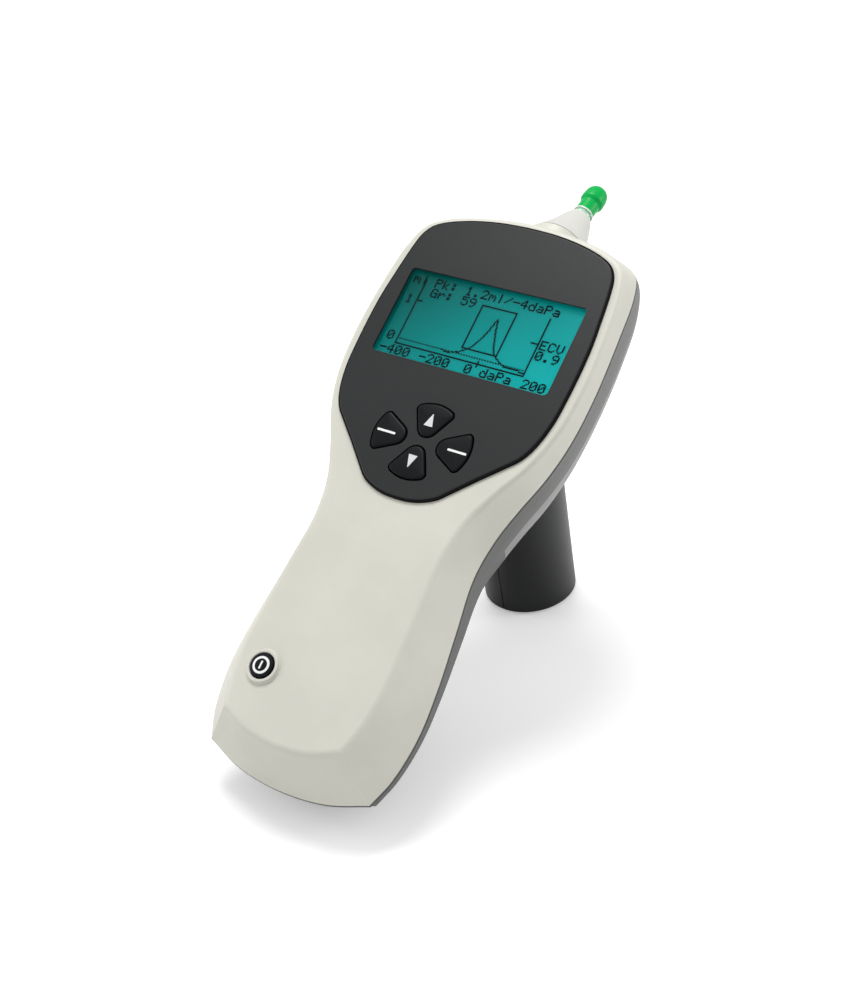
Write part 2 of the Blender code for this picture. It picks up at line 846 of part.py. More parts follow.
def make_power_button():
    top = case_top + collar_height + power_rise
    rim = power_radius + key_flange
    profile = [(power_radius * a, top + power_dome * b) for a, b in dome_shares]
    profile += [(power_radius, key_flange_top), (rim, key_flange_top), (rim, key_low), (0, key_low)]
    turned("power_button", profile, body_axes, "key_black", at=(power_x, power_y, 0))
    low = (power_x - switch_half, power_y - switch_half, board_top + seam_gap)
    high = (power_x + switch_half, power_y + switch_half, key_low - power_travel - seam_gap)
    mesh_object("power_switch", box_mesh(low, high), body_axes, "chip_black")


# Screws

def add_turned(bm, profile, x, y, steps=12):
    verts = [bm.verts.new((x + radius, y, height)) for radius, height in profile]
    edges = [bm.edges.new(pair) for pair in zip(verts, verts[1:])]
    bmesh.ops.spin(bm, geom=verts + edges, cent=(x, y, 0), axis=(0, 0, 1), angle=2 * pi, steps=steps,
                   use_merge=True)


def make_screw(name, spot, head_end, seat, tip, shank, head):
    profile = ((0, head_end), (head, head_end), (head, seat), (shank, seat), (shank, tip), (0, tip))
    if tip > head_end:
        profile = profile[::-1]
    turned(name, profile, body_axes, "bare_steel", at=(*spot, 0), steps=12)


def both_sides(spot):
    return (spot, (-spot[0], spot[1]))


def case_bosses():
    """Place of each case screw, with the level of the surface it enters."""
    front = [(spot, -head_depth) for spot in both_sides(front_boss)]
    return front + [(spot, -handle_depth) for spot in both_sides(neck_boss)]


# Shells

def make_upper_case(window, holes):
    upper = mesh_object("upper_case", upper_outer(), body_axes, "cream_case")
    inside = mesh_object("upper_case_inside", upper_inner(), body_axes)
    seat = plate("panel_recess", panel_outline(-panel_gap), panel_seat, overrun, body_axes)
    cut(upper, inside, seat, window, *holes)
    posts = bmesh.new()
    bores = bmesh.new()
    for (x, y), level in case_bosses():
        split = level + boss_seat + seam_gap
        add_rod(posts, (x, y, split), (x, y, case_inside + post_root), boss_radius, 20)
        add_rod(bores, (x, y, split - overrun), (x, y, split + screw_grip + screw_clearance),
                screw_radius + screw_clearance, 12)
    for x, y in both_sides(board_boss):
        add_rod(posts, (x, y, board_top + seam_gap), (x, y, case_inside + post_root), board_boss_radius)
        add_rod(bores, (x, y, board_top - overrun), (x, y, case_inside), board_screw_radius + screw_clearance,
                12)
    ring = rod_mesh((power_x, power_y, case_top - post_root), (power_x, power_y, case_top + collar_height),
                    power_radius + slide_gap + collar_width, 32)
    join(upper, mesh_object("case_posts", posts, body_axes), mesh_object("button_collar", ring, body_axes))
    hole = rod_mesh((power_x, power_y, case_inside - overrun), (power_x, power_y, overrun),
                    power_radius + slide_gap, 32)
    cut(upper, mesh_object("post_bores", bores, body_axes), mesh_object("power_hole", hole, body_axes))
    return upper


def make_lower_shells():
    lower = mesh_object("lower_case", ring_solid(lower_rings(0, -seam_gap / 2), True, True), body_axes,
                        "grey_case")
    cover = mesh_object("underside_cover", ring_solid(lower_rings(0, -seam_gap / 2), True, True), body_axes,
                        "light_grey_case")
    door = mesh_object("battery_cover", ring_solid(lower_rings(0, -seam_gap / 2), True, True), body_axes,
                       "grey_case")
    inside = mesh_object("lower_case_inside", ring_solid(lower_rings(case_wall, overrun), True, True),
                         body_axes)
    cut(lower, inside)
    cut(cover, inside)
    cut(door, inside)

    low = (-beyond, -cover_back, -head_depth - overrun)
    high = (beyond, beyond + head_reach, -cover_seam_depth)
    zone = mesh_object("cover_zone", box_mesh(low, high), body_axes)
    low = (-beyond, -cover_back - seam_gap, -head_depth - overrun)
    high = (beyond, beyond + head_reach, -cover_seam_depth + seam_gap)
    opening = mesh_object("cover_opening", box_mesh(low, high), body_axes)
    combine(cover, zone, "INTERSECT")
    cut(lower, opening)

    low = Vector((-door_half_width, -door_back, -handle_depth - overrun))
    high = Vector((door_half_width, -door_front, -door_level))
    grow = Vector((seam_gap, seam_gap, 0))
    door_zone = mesh_object("door_zone", box_mesh(low, high), body_axes)
    doorway = mesh_object("doorway", box_mesh(low - grow, high + grow), body_axes)
    combine(door, door_zone, "INTERSECT")
    cut(lower, doorway)
    ribs = bmesh.new()
    for y in rib_places:
        add_box(ribs, (-rib_half_width, y - rib_thickness / 2, -handle_depth + case_wall / 2),
                (rib_half_width, y + rib_thickness / 2, -cell_depth - cell_radius - slide_gap))
    join(door, mesh_object("door_ribs", ribs, body_axes))
    return lower, cover


def make_lower_bosses(lower, cover):
    for shell, spots, level in ((cover, both_sides(front_boss), -head_depth),
                                (lower, both_sides(neck_boss), -handle_depth)):
        stubs = bmesh.new()
        bores = bmesh.new()
        for x, y in spots:
            add_rod(stubs, (x, y, level + case_wall / 2), (x, y, level + boss_seat), boss_radius, 20)
            add_turned(bores, ((0, level - overrun), (screw_head_radius + screw_clearance, level - overrun),
                               (screw_head_radius + screw_clearance, level + screw_recess),
                               (screw_radius + screw_clearance, level + screw_recess),
                               (screw_radius + screw_clearance, level + boss_seat + overrun),
                               (0, level + boss_seat + overrun)), x, y)
        bmesh.ops.remove_doubles(bores, verts=bores.verts, dist=0.00001)
        join(shell, mesh_object(shell.name + "_stubs", stubs, body_axes))
        cut(shell, mesh_object(shell.name + "_bores", bores, body_axes))

    for number, (spot, level) in enumerate(case_bosses(), 1):
        seat = level + screw_recess - seam_gap
        make_screw("case_screw_%d" % number, spot, seat - screw_head_height, seat,
                   level + boss_seat + screw_grip, screw_radius, screw_head_radius)


def make_heel_pad(lower):
    end = forward * heel_line.dot(forward) + down * ground
    turn = (pi - stand_tilt, 0, 0)
    outline = rectangle(heel_pad_half_width, -heel_pad_half_length, heel_pad_half_length,
                        heel_pad_half_length / 2)
    plate("heel_pad", outline, -heel_pad_depth, 0, body_axes, "rubber_black", at=end, turn=turn)
    pocket = plate("pad_pocket", moved_out(outline, seam_gap), -heel_pad_depth - seam_gap, overrun, body_axes,
                   at=end, turn=turn)
    cut(lower, pocket)


# Board

def board_outline():
    edge = panel_outline(board_inset)
    right = [p for p in edge if p.x > tongue_half_width and p.y < board_front]
    left = [Vector((-p.x, p.y)) for p in reversed(right)]
    root = right[-1].y - tongue_root
    tongue = [(tongue_half_width, root), (tongue_half_width, -tongue_back), (-wing_reach, -tongue_back),
              (-wing_reach, wing_length - tongue_back), (-tongue_half_width, wing_length - tongue_back),
              (-tongue_half_width, root)]
    return [Vector((-right[0].x, board_front)), Vector((right[0].x, board_front))] + right + [
        Vector(p) for p in tongue] + left


def make_board():
    board = plate("main_board", board_outline(), board_low, board_top, body_axes, "board_green")
    holes = bmesh.new()
    for number, (x, y) in enumerate(both_sides(board_boss), 1):
        add_rod(holes, (x, y, board_low - overrun), (x, y, board_top + overrun),
                board_screw_radius + screw_clearance, 12)
        seat = board_low - seam_gap
        make_screw("board_screw_%d" % number, (x, y), seat - board_head_height, seat,
                   board_top + board_screw_grip, board_screw_radius, board_screw_head)
    cut(board, mesh_object("board_holes", holes, body_axes))
    x, y = chip_place
    low = (x - chip_half, y - chip_half, board_low - seam_gap - chip_height)
    high = (x + chip_half, y + chip_half, board_low - seam_gap)
    mesh_object("main_chip", box_mesh(low, high), body_axes, "chip_black")


def make_probe_ribbon():
    under = board_low - seam_gap
    back = probe_point(0, speaker_rise, -probe_body_back - seam_gap - speaker_length - seam_gap)
    line = [(board_front - ribbon_foot, under), (board_front - ribbon_bend, under),
            (back.y - seam_gap - ribbon_bend, back.z), (back.y - seam_gap, back.z)]
    outline = line + [(y, z - ribbon_thickness) for y, z in reversed(line)]
    plate("probe_ribbon", outline, -ribbon_half_width, ribbon_half_width, body_axes, "flex_amber",
          turn=(pi / 2, 0, pi / 2))


# Batteries

def cell_columns():
    pitch = cell_radius * 2 + cell_gap
    return [(pitch * (i - (cell_count - 1) / 2), 1 - 2 * (i % 2)) for i in range(cell_count)]


def make_batteries():
    half = cell_length / 2
    for number, (x, way) in enumerate(cell_columns(), 1):
        profile = ((0, half + cell_nub), (cell_nub_radius, half + cell_nub), (cell_nub_radius, half),
                   (cell_radius, half), (cell_radius, -half), (0, -half))
        turned("battery_cell_%d" % number, profile, body_axes, "battery_skin",
               at=(x, cell_middle_y, -cell_depth), turn=(-way * pi / 2, 0, 0), steps=16)

    reach = half + contact_room
    roof = -cell_depth + cell_radius + seam_gap
    outline = [(-reach - tray_wall, roof - tray_drop), (-reach - tray_wall, roof + tray_wall),
               (reach + tray_wall, roof + tray_wall), (reach + tray_wall, roof - tray_drop),
               (reach, roof - tray_drop), (reach, roof), (-reach, roof), (-reach, roof - tray_drop)]
    outline = [(cell_middle_y + y, z) for y, z in outline]
    plate("battery_tray", outline, -tray_half_width, tray_half_width, body_axes, "inner_plastic",
          turn=(pi / 2, 0, pi / 2))


def spring_line(x, way):
    """Coil on the negative end of a cell whose positive end points that way along the body."""
    start = cell_middle_y - way * (cell_length / 2 + contact_room - seam_gap - spring_wire)
    room = contact_room - seam_gap * 2 - spring_wire * 2
    line = []
    for step in range(spring_turns * spring_points, -1, -1):
        share = step / (spring_turns * spring_points)
        angle = 2 * pi * step / spring_points
        radius = spring_outer + (spring_inner - spring_outer) * share
        line.append((x + radius * cos(angle), start + way * room * share, radius * sin(angle) - cell_depth))
    return line


def loop_line(x, way):
    """Flat loop of wire on the positive end of a cell, on the same wall as the coil beside it."""
    wall = cell_middle_y + way * (cell_length / 2 + contact_room - seam_gap - spring_wire)
    half = spring_outer / 2
    corners = ((-half, 0), (-half, half), (half, half), (half, -half), (-half, -half))
    return [(x + across, wall, rise - cell_depth) for across, rise in corners]


def make_contacts():
    columns = cell_columns()
    tube("contact_front_left", loop_line(*columns[0]), spring_wire, body_axes, "bare_steel", 0)
    tube("contact_front_right", spring_line(*columns[-1]), spring_wire, body_axes, "bare_steel", 0)
    for name, coil in (("contact_rear_left", 0), ("contact_front_middle", 1), ("contact_rear_right", 2)):
        route = spring_line(*columns[coil]) + loop_line(*columns[coil + 1])
        tube(name, route, spring_wire, body_axes, "bare_steel", 0)
    end = Vector((0, cell_middle_y + cell_length / 2 + contact_room + tray_wall + seam_gap + wire_radius,
                  cell_radius + seam_gap - cell_depth))
    top = board_low - seam_gap - wire_radius
    route = [end, Vector((0, end.y + wire_lead, (end.z + top) / 2)), Vector((0, end.y + wire_lead * 2, top)),
             Vector((0, end.y + wire_lead * 3, top))]
    tube("battery_lead", smooth_line(route, 3), wire_radius, body_axes, "rubber_black", 1)


# Leg

def leg_ring(inset, height, top=None):
    """Section of the leg: level with the ground at a height, or where it meets a body level."""
    ring = []
    for i in range(leg_steps):
        angle = -2 * pi * i / leg_steps
        x, y = cos(angle), sin(angle)
        size = (abs(x) ** leg_power + abs(y) ** leg_power) ** (-1 / leg_power)
        spot = foot - leg_line * (height / leg_line.dot(down))
        spot += Vector((x * size * (leg_half_width - inset), 0, 0))
        spot += forward * (y * size * (leg_half_depth - inset))
        if top is not None:
            spot = spot - leg_line * ((top - spot.z) / -leg_line.z)
        ring.append(spot)
    return ring


def make_leg(cover):
    seat = -head_depth - seam_gap
    cover_floor = -head_depth + case_wall
    halves = []
    for name, side in (("left_leg_shell", -1), ("right_leg_shell", 1)):
        rings = [leg_ring(leg_edge, foot_stand), leg_ring(0, foot_stand + leg_edge), leg_ring(0, 0, seat)]
        shell = mesh_object(name, ring_solid(rings), body_axes, "leg_grey")
        halves.append((shell, side))
    rings = [leg_ring(leg_wall, -overrun), leg_ring(leg_wall, 0, seat - leg_roof)]
    hollow = mesh_object("leg_inside", ring_solid(rings), body_axes)
    holes = bmesh.new()
    for name, x in (("leg_screw_left", -leg_screw_x), ("leg_screw_right", leg_screw_x)):
        add_rod(holes, (x, leg_top_y, seat - leg_roof - overrun), (x, leg_top_y, cover_floor + overrun),
                screw_radius + screw_clearance, 12)
        make_screw(name, (x, leg_top_y), cover_floor + seam_gap + screw_head_height, cover_floor + seam_gap,
                   seat - leg_roof + seam_gap, screw_radius, screw_head_radius)
    bores = mesh_object("leg_screw_holes", holes, body_axes)
    for shell, side in halves:
        low = (min(-side * beyond, side * seam_gap / 2), -beyond * 2, -beyond * 3)
        high = (max(-side * beyond, side * seam_gap / 2), beyond * 2, 0)
        other_side = mesh_object(shell.name + "_split", box_mesh(low, high), body_axes)
        cut(shell, hollow, bores, other_side)
    cut(cover, bores)
    mesh_object("leg_foot_pad", ring_solid([
        leg_ring(leg_wall + leg_edge, 0), leg_ring(leg_wall + seam_gap, foot_stand),
        leg_ring(leg_wall + seam_gap, foot_pad_thickness)]), body_axes, "rubber_black")


# Probe

cone_base = collar_front + seam_gap
nozzle_base = cone_neck + seam_gap
nozzle_top = cone_neck + nozzle_band
tip_base = nozzle_top + seam_gap


def make_probe(upper, lower, cover):
    lip = collar_back - collar_lip_thickness
    profile = [(collar_bore, collar_front), (collar_radius, collar_front),
               (collar_radius, -collar_back + collar_flange_thickness),
               (collar_radius + collar_flange, -collar_back + collar_flange_thickness),
               (collar_radius + collar_flange, -collar_back), (collar_lip, -collar_back), (collar_lip, -lip),
               (collar_bore, -lip)]
    turned("probe_collar", profile, probe_axes, "cream_case", steps=30)
    hole = mesh_object("probe_opening", rod_mesh((0, 0, -collar_back), (0, 0, collar_front + collar_radius),
                                                 collar_radius + seam_gap, 30), probe_axes)
    for shell in (upper, lower, cover):
        cut(shell, hole)

    rows = [(cone_mouth + b * (collar_radius - cone_mouth), cone_base + a * (cone_neck - cone_base))
            for a, b in cone_shares]
    spigot = collar_bore - slide_gap
    mouth = nozzle_spigot + seam_gap
    inner = [(min(max(radius - cone_wall, mouth), spigot - cone_wall), height) for radius, height in rows]
    profile = list(reversed(rows)) + [(spigot, cone_base), (spigot, cone_base - cone_spigot),
                                      (spigot - cone_wall, cone_base - cone_spigot)] + inner
    turned("nose_cone", profile, probe_axes, "cone_white", steps=24)

    ring_top = nozzle_base + nozzle_ring_height
    pin_top = nozzle_top + nozzle_pin_length
    profile = [(nozzle_bore, pin_top), (nozzle_pin, pin_top), (nozzle_pin, nozzle_top),
               (nozzle_radius, nozzle_top), (nozzle_radius, ring_top),
               (nozzle_radius + nozzle_ring, ring_top),
               (nozzle_radius + nozzle_ring, nozzle_base), (nozzle_spigot, nozzle_base),
               (nozzle_spigot, nozzle_base - nozzle_spigot_length),
               (nozzle_bore, nozzle_base - nozzle_spigot_length)]
    turned("probe_tip", profile, probe_axes, "clear_nozzle", steps=16)

    socket = nozzle_pin + tip_clearance
    socket_top = pin_top + tip_clearance
    rows = [(tip_stem + b * (tip_radius - tip_stem), tip_base + a * tip_length) for a, b in tip_shares]
    profile = list(reversed(rows)) + [(tip_stem, tip_base), (socket, tip_base), (socket, socket_top),
                                      (tip_bore, socket_top), (tip_bore, tip_base + tip_length)]
    turned("ear_tip", profile, probe_axes, "tip_green", steps=16)


def circle_at(centre, height, radius):
    """Section of a seal ring, as radius and height pairs."""
    angles = [2 * pi * i / gasket_steps for i in range(gasket_steps)]
    return [(centre + radius * sin(angle), height + radius * cos(angle)) for angle in angles]


def make_probe_inside():
    back = -probe_body_back
    profile = [(0, probe_nose_end), (probe_nose, probe_nose_end), (probe_nose, probe_body_front),
               (probe_body_radius, probe_body_front), (probe_body_radius, back + probe_flange_thickness),
               (collar_bore - slide_gap, back + probe_flange_thickness), (collar_bore - slide_gap, back),
               (0, back)]
    turned("probe_body", profile, probe_axes, "white_plastic", steps=24)
    centre = probe_body_radius + seam_gap + gasket_radius
    seat = back + probe_flange_thickness + seam_gap + gasket_radius
    turned("probe_gasket", circle_at(centre, seat, gasket_radius), probe_axes, "rubber_black", steps=16)
    end = back - seam_gap
    mesh_object("probe_speaker", rod_mesh((speaker_x, -speaker_rise, end),
                                          (speaker_x, -speaker_rise, end - speaker_length), speaker_radius),
                probe_axes, "bare_steel")
    mesh_object("probe_microphone", rod_mesh((-microphone_x, -speaker_rise, end),
                                             (-microphone_x, -speaker_rise, end - microphone_length),
                                             microphone_radius), probe_axes, "bare_steel")


# Air pump

def make_pump():
    motor_front = motor_length - motor_back
    mesh_object("pump_motor", rod_mesh((0, 0, -motor_back), (0, 0, motor_front), motor_radius, 24), pump_axes,
                "bare_steel")
    upright = motor_front + seam_gap
    low = (-bracket_half_width, -bracket_half_width, upright)
    outside = bracket_half_width + bracket_thickness
    high = (bracket_half_width, outside, upright + upright_thickness)
    bracket = mesh_object("pump_bracket", box_mesh(low, high), pump_axes, "bare_steel")
    foot_plate = box_mesh((-bracket_half_width, bracket_half_width, -motor_back),
                          (bracket_half_width, outside, cylinder_length))
    screw_hole = rod_mesh((0, 0, upright - overrun), (0, 0, upright + upright_thickness + overrun),
                          lead_radius + slide_gap)
    join(bracket, mesh_object("bracket_base", foot_plate, pump_axes))
    cut(bracket, mesh_object("bracket_hole", screw_hole, pump_axes))
    turned("pump_lead_screw", ((0, upright + lead_length), (lead_radius, upright + lead_length),
                               (lead_radius, upright), (0, upright)), pump_axes, "bare_steel", steps=12)

    rod_end = piston_start - piston_rod_length
    profile = [(0, piston_start + piston_head), (piston_head_radius, piston_start + piston_head),
               (piston_head_radius, piston_start + groove_high), (groove_floor, piston_start + groove_high),
               (groove_floor, piston_start + groove_low), (piston_head_radius, piston_start + groove_low),
               (piston_head_radius, piston_start), (piston_rod, piston_start), (piston_rod, rod_end),
               (lead_radius + slide_gap, rod_end), (lead_radius + slide_gap, piston_start), (0, piston_start)]
    turned("pump_piston", profile, pump_axes, "white_plastic", steps=16)
    middle = piston_start + (groove_low + groove_high) / 2
    centre = groove_floor + seam_gap / 2 + seal_radius
    turned("pump_seal", circle_at(centre, middle, seal_radius), pump_axes, "rubber_black", steps=16)

    profile = [(0, cylinder_length), (cylinder_radius, cylinder_length), (cylinder_radius, 0),
               (cylinder_bore, 0),
               (cylinder_bore, cylinder_length - cylinder_end), (0, cylinder_length - cylinder_end)]
    cylinder = turned("pump_cylinder", profile, pump_axes, "clear_tube", steps=24)
    root = (cylinder_radius + cylinder_bore) / 2
    reach = cylinder_radius + nipple_length
    sensor_reach = cylinder_radius + sensor_nipple
    nipples = rod_mesh((root, 0, nipple_place), (reach, 0, nipple_place), nipple_radius, 12)
    add_rod(nipples, (0, -root, nipple_place), (0, -sensor_reach, nipple_place), nipple_radius, 12)
    ports = rod_mesh((root - nipple_bore, 0, nipple_place), (reach + overrun, 0, nipple_place),
                     nipple_bore, 8)
    add_rod(ports, (0, nipple_bore - root, nipple_place), (0, -sensor_reach - overrun, nipple_place),
            nipple_bore, 8)
    join(cylinder, mesh_object("cylinder_nipples", nipples, pump_axes))
    cut(cylinder, mesh_object("cylinder_ports", ports, pump_axes))

    sensor_low = board_low - seam_gap - sensor_height
    low = (pump_x - sensor_half, nipple_place - sensor_half, sensor_low)
    high = (pump_x + sensor_half, nipple_place + sensor_half, board_low - seam_gap)
    sensor = mesh_object("pressure_sensor", box_mesh(low, high), body_axes, "chip_black")
    port = rod_mesh((pump_x, nipple_place, board_low - sensor_height), (
        pump_x, nipple_place, sensor_reach + seam_gap - pump_depth), tube_radius, 12)
    join(sensor, mesh_object("sensor_port", port, body_axes))
    start = Vector((pump_x + reach + seam_gap, nipple_place, -pump_depth))
    end = -probe_body_back - seam_gap
    line = [start, start + Vector((tube_lead, 0, 0)), probe_point(0, -inlet_drop, end - tube_lead * 2),
            probe_point(0, -inlet_drop, end)]
    tube("air_tube", smooth_line(line, 6), tube_radius, body_axes, "clear_tube", 2)


face_panel, window_cut = make_face_plate()
make_display()
make_keys()
make_key_switches()
make_power_button()
key_holes = [bpy.data.objects[name + "_hole"] for name, start, turn in key_places()]
upper_case = make_upper_case(window_cut, key_holes)
lower_case, underside_cover = make_lower_shells()
make_lower_bosses(lower_case, underside_cover)
make_heel_pad(lower_case)
make_board()
make_probe_ribbon()
make_batteries()
make_contacts()
make_leg(underside_cover)
make_probe(upper_case, lower_case, underside_cover)
make_probe_inside()
make_pump()
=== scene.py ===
import json
from math import cos, pi, radians, sin, sqrt, tan

import bmesh
import bpy
from mathutils import Matrix, Vector


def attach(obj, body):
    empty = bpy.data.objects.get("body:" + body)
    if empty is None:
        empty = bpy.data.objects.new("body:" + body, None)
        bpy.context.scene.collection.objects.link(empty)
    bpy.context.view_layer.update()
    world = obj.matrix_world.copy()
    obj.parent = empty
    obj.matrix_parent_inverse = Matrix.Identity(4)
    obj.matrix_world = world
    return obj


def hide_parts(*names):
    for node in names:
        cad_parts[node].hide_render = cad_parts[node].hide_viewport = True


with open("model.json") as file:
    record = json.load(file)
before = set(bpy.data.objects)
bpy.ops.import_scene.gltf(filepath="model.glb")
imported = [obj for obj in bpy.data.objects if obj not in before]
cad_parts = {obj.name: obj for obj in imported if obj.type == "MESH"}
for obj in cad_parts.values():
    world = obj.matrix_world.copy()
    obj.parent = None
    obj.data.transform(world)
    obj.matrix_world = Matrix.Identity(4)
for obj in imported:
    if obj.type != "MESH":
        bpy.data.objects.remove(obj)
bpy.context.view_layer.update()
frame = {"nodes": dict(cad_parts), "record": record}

# Handheld tympanometer. Places are in body axes: y along the body, z out of the face plate, zero at the
# middle of the display window's lower edge. placeOnBody takes them to the standing pose.

stance = {
    "tilt": radians(37.0),
    "powerButton": (-0.0148, -0.1050, 0.0),     # body place of the joint power_press
    "probeStart": (0.0, 0.0574, -0.0216),
    "probeTilt": radians(17.0),
}
jointPlaces = {joint["name"]: Vector(joint["pos_m"]) for joint in frame["record"]["behaviour"]["joints"]}
bodyTurn = Matrix.Rotation(stance["tilt"], 4, "X")
buttonPlace = bodyTurn @ Vector(stance["powerButton"])
placeOnBody = Matrix.Translation(jointPlaces["power_press"] - buttonPlace) @ bodyTurn
probeTurn = Matrix.Rotation(-pi / 2 - stance["probeTilt"], 4, "X")
placeOnProbe = placeOnBody @ Matrix.Translation(stance["probeStart"]) @ probeTurn
toBody = placeOnBody.inverted()

caseForm = {
    "head": 0.0416, "neck": 0.0244, "handle": 0.0263, "front": 0.0574, "heel": 0.1266, "neckBack": 0.0560,
    # Out from the face edge at head, neck, handle, front, heel: seam, then the lower shell's widest level
    "seamOut": (0.0003, 0.0055, 0.0083, 0.0031, 0.0084),
    "shoulderOut": (-0.0018, 0.0046, 0.0064, 0.0046, 0.0074),
    # Rows: share of the head's half width, share of the neck's, share of the length from neck to front
    "headRows": ((0, 0, 1), (0.345, 0, 0.990), (0.690, 0, 0.962), (0.858, 0, 0.925), (0.935, 0, 0.858),
                 (0.980, 0, 0.740), (1, 0, 0.564), (0.916, 0.084, 0.414), (0.699, 0.301, 0.304),
                 (0.367, 0.633, 0.203), (0.114, 0.886, 0.110), (0, 1, 0)),
    # Rows: share of the neck's half width, share of the handle's, share of the length from neck to heel
    "handleRows": ((0.550, 0.450, 0.227), (0.110, 0.890, 0.453), (0, 1, 0.637), (0, 0.943, 0.807),
                   (0, 0.844, 0.921)),
    "heelRows": ((0, 0.456, 0.980), (0, 0, 1)),
    "steps": 8, "wall": 0.0018, "top": -0.0012, "edge": 0.0022, "seam": -0.0100, "seamSlope": 0.048,
    "frontDrop": 0.0055, "dropStart": 0.0180,
    "shoulder": -0.0200, "handleBottom": -0.0360, "headBottom": -0.0390, "coverBack": 0.0420,
    "coverSeam": -0.0228, "round": 0.0132, "gap": 0.0003, "coverGap": 0.0002,
    # Rows: share of the rounding at head, sides and ends, and share of the depth below the widest level
    "roundRows": ((0.24, 0.23, 0.13, 0.50), (0.58, 0.55, 0.50, 0.87), (1.0, 1.0, 1.0, 1.0)),
    "columnSteps": 5, "softEdge": 0.0016, "softSteps": 8, "lip": 0.00025, "lipRise": 0.0003, "sharp": 28,
}
windowForm = {"half": 0.0316, "low": 0.0009, "high": 0.0319, "corner": 0.0014}


def smoothLine(points, steps):
    points = [Vector(p) for p in points]
    padded = [points[0] * 2 - points[1]] + points + [points[-1] * 2 - points[-2]]
    line = []
    for p0, p1, p2, p3 in zip(padded, padded[1:], padded[2:], padded[3:]):
        t1 = sqrt((p1 - p0).length)
        t2 = t1 + sqrt((p2 - p1).length)
        t3 = t2 + sqrt((p3 - p2).length)
        for step in range(steps):
            t = t1 + (t2 - t1) * step / steps
            a1 = p0 * ((t1 - t) / t1) + p1 * (t / t1)
            a2 = p1 * ((t2 - t) / (t2 - t1)) + p2 * ((t - t1) / (t2 - t1))
            a3 = p2 * ((t3 - t) / (t3 - t2)) + p3 * ((t - t2) / (t3 - t2))
            b1 = a1 * ((t2 - t) / t2) + a2 * (t / t2)
            b2 = a2 * ((t3 - t) / (t3 - t1)) + a3 * ((t - t1) / (t3 - t1))
            line.append(b1 * ((t2 - t) / (t2 - t1)) + b2 * ((t - t1) / (t2 - t1)))
    return line + [points[-1]]


def mirrored(half):
    return half + [Vector((-p.x, p.y)) for p in reversed(half[1:-1])]


def movedOut(outline, distance):
    moved = []
    for i, point in enumerate(outline):
        before = (point - outline[i - 1]).normalized()
        after = (outline[(i + 1) % len(outline)] - point).normalized()
        along = (before + after).normalized()
        moved.append(point + Vector((-along.y, along.x)) * (distance / max(along.dot(after), 0.5)))
    return moved


def roundedCorners(corners, radius, steps=6):
    outline = []
    points = [Vector(c) for c in corners]
    radii = radius if isinstance(radius, (list, tuple)) else [radius] * len(points)
    for i, point in enumerate(points):
        back = (points[i - 1] - point).normalized()
        ahead = (points[(i + 1) % len(points)] - point).normalized()
        half = back.angle(ahead) / 2
        middle = point + (back + ahead).normalized() * (radii[i] / sin(half))
        start = point + back * (radii[i] / tan(half)) - middle
        sweep = start.angle_signed(point + ahead * (radii[i] / tan(half)) - middle)
        for step in range(steps + 1):
            angle = -sweep * step / steps
            outline.append(middle + Matrix.Rotation(angle, 2) @ start)
    return outline


def rectangle(halfWidth, low, high, radius, steps=6):
    corners = ((-halfWidth, low), (-halfWidth, high), (halfWidth, high), (halfWidth, low))
    return roundedCorners(corners, radius, steps)


def circle(radius, steps):
    angles = [2 * pi * i / steps for i in range(steps)]
    return [Vector((radius * sin(a), radius * cos(a))) for a in angles]


def quarterTurn(steps):
    return [k * pi / (2 * steps) for k in range(steps + 1)]


def curvePoint(start, corner, end, share):
    return start.lerp(corner, share).lerp(corner.lerp(end, share), share)


def rowsFrom(rows, radius, level):
    return [(radius + across, level + up) for across, up in rows]


def atHeight(outline, height):
    return [Vector((p.x, p.y, height)) for p in outline]


def caseOutline(out=(0, 0, 0, 0, 0), inset=0.0):
    f = caseForm
    sizes = [f[key] + o - inset for key, o in zip(("head", "neck", "handle", "front", "heel"), out)]
    head, neck, handle, front, heel = sizes
    back = f["neckBack"]
    side = [(a * head + b * neck, c * (front + back) - back) for a, b, c in f["headRows"]]
    side += [(a * neck + b * handle, -back - c * (heel - back)) for a, b, c in f["handleRows"]]
    end = [(b * handle, -back - c * (heel - back)) for a, b, c in f["heelRows"]]
    left = [(-x, y) for x, y in reversed(side[1:])]
    heelLine = [side[-1]] + end + [(-x, y) for x, y in reversed(end[:-1])] + [left[0]]
    return smoothLine(left + side, f["steps"]) + smoothLine(heelLine, f["steps"])[1:-1]


def seamHeight(y):
    f = caseForm
    share = max(y - f["dropStart"], 0) / (f["front"] - f["dropStart"])
    return f["seam"] + f["seamSlope"] * y - f["frontDrop"] * share * share


def seamLevel(outline, shift):
    return [Vector((p.x, p.y, seamHeight(p.y) + shift)) for p in outline]


def undersideHeight(y):
    f = caseForm
    share = min(max((y + f["neckBack"]) / (f["neckBack"] - f["coverBack"]), 0), 1)
    share = share * share * (3 - 2 * share)
    return f["handleBottom"] + share * (f["headBottom"] - f["handleBottom"])


# Modelling helpers

sameSpot = 0.000002      # closer than this, two points are one


def nextAlong(vert, fits):
    return next(v for v in (e.other_vert(vert) for e in vert.link_edges) if fits(v))


def loopFrom(bm, places):
    verts = bmesh.ops.create_circle(bm, cap_ends=False, segments=len(places), radius=1)["verts"]
    order = [verts[0]]
    while len(order) < len(verts):
        order.append(nextAlong(order[-1], lambda v: v not in order[-2:]))
    for vert, place in zip(order, places):
        vert.co = place
    return order


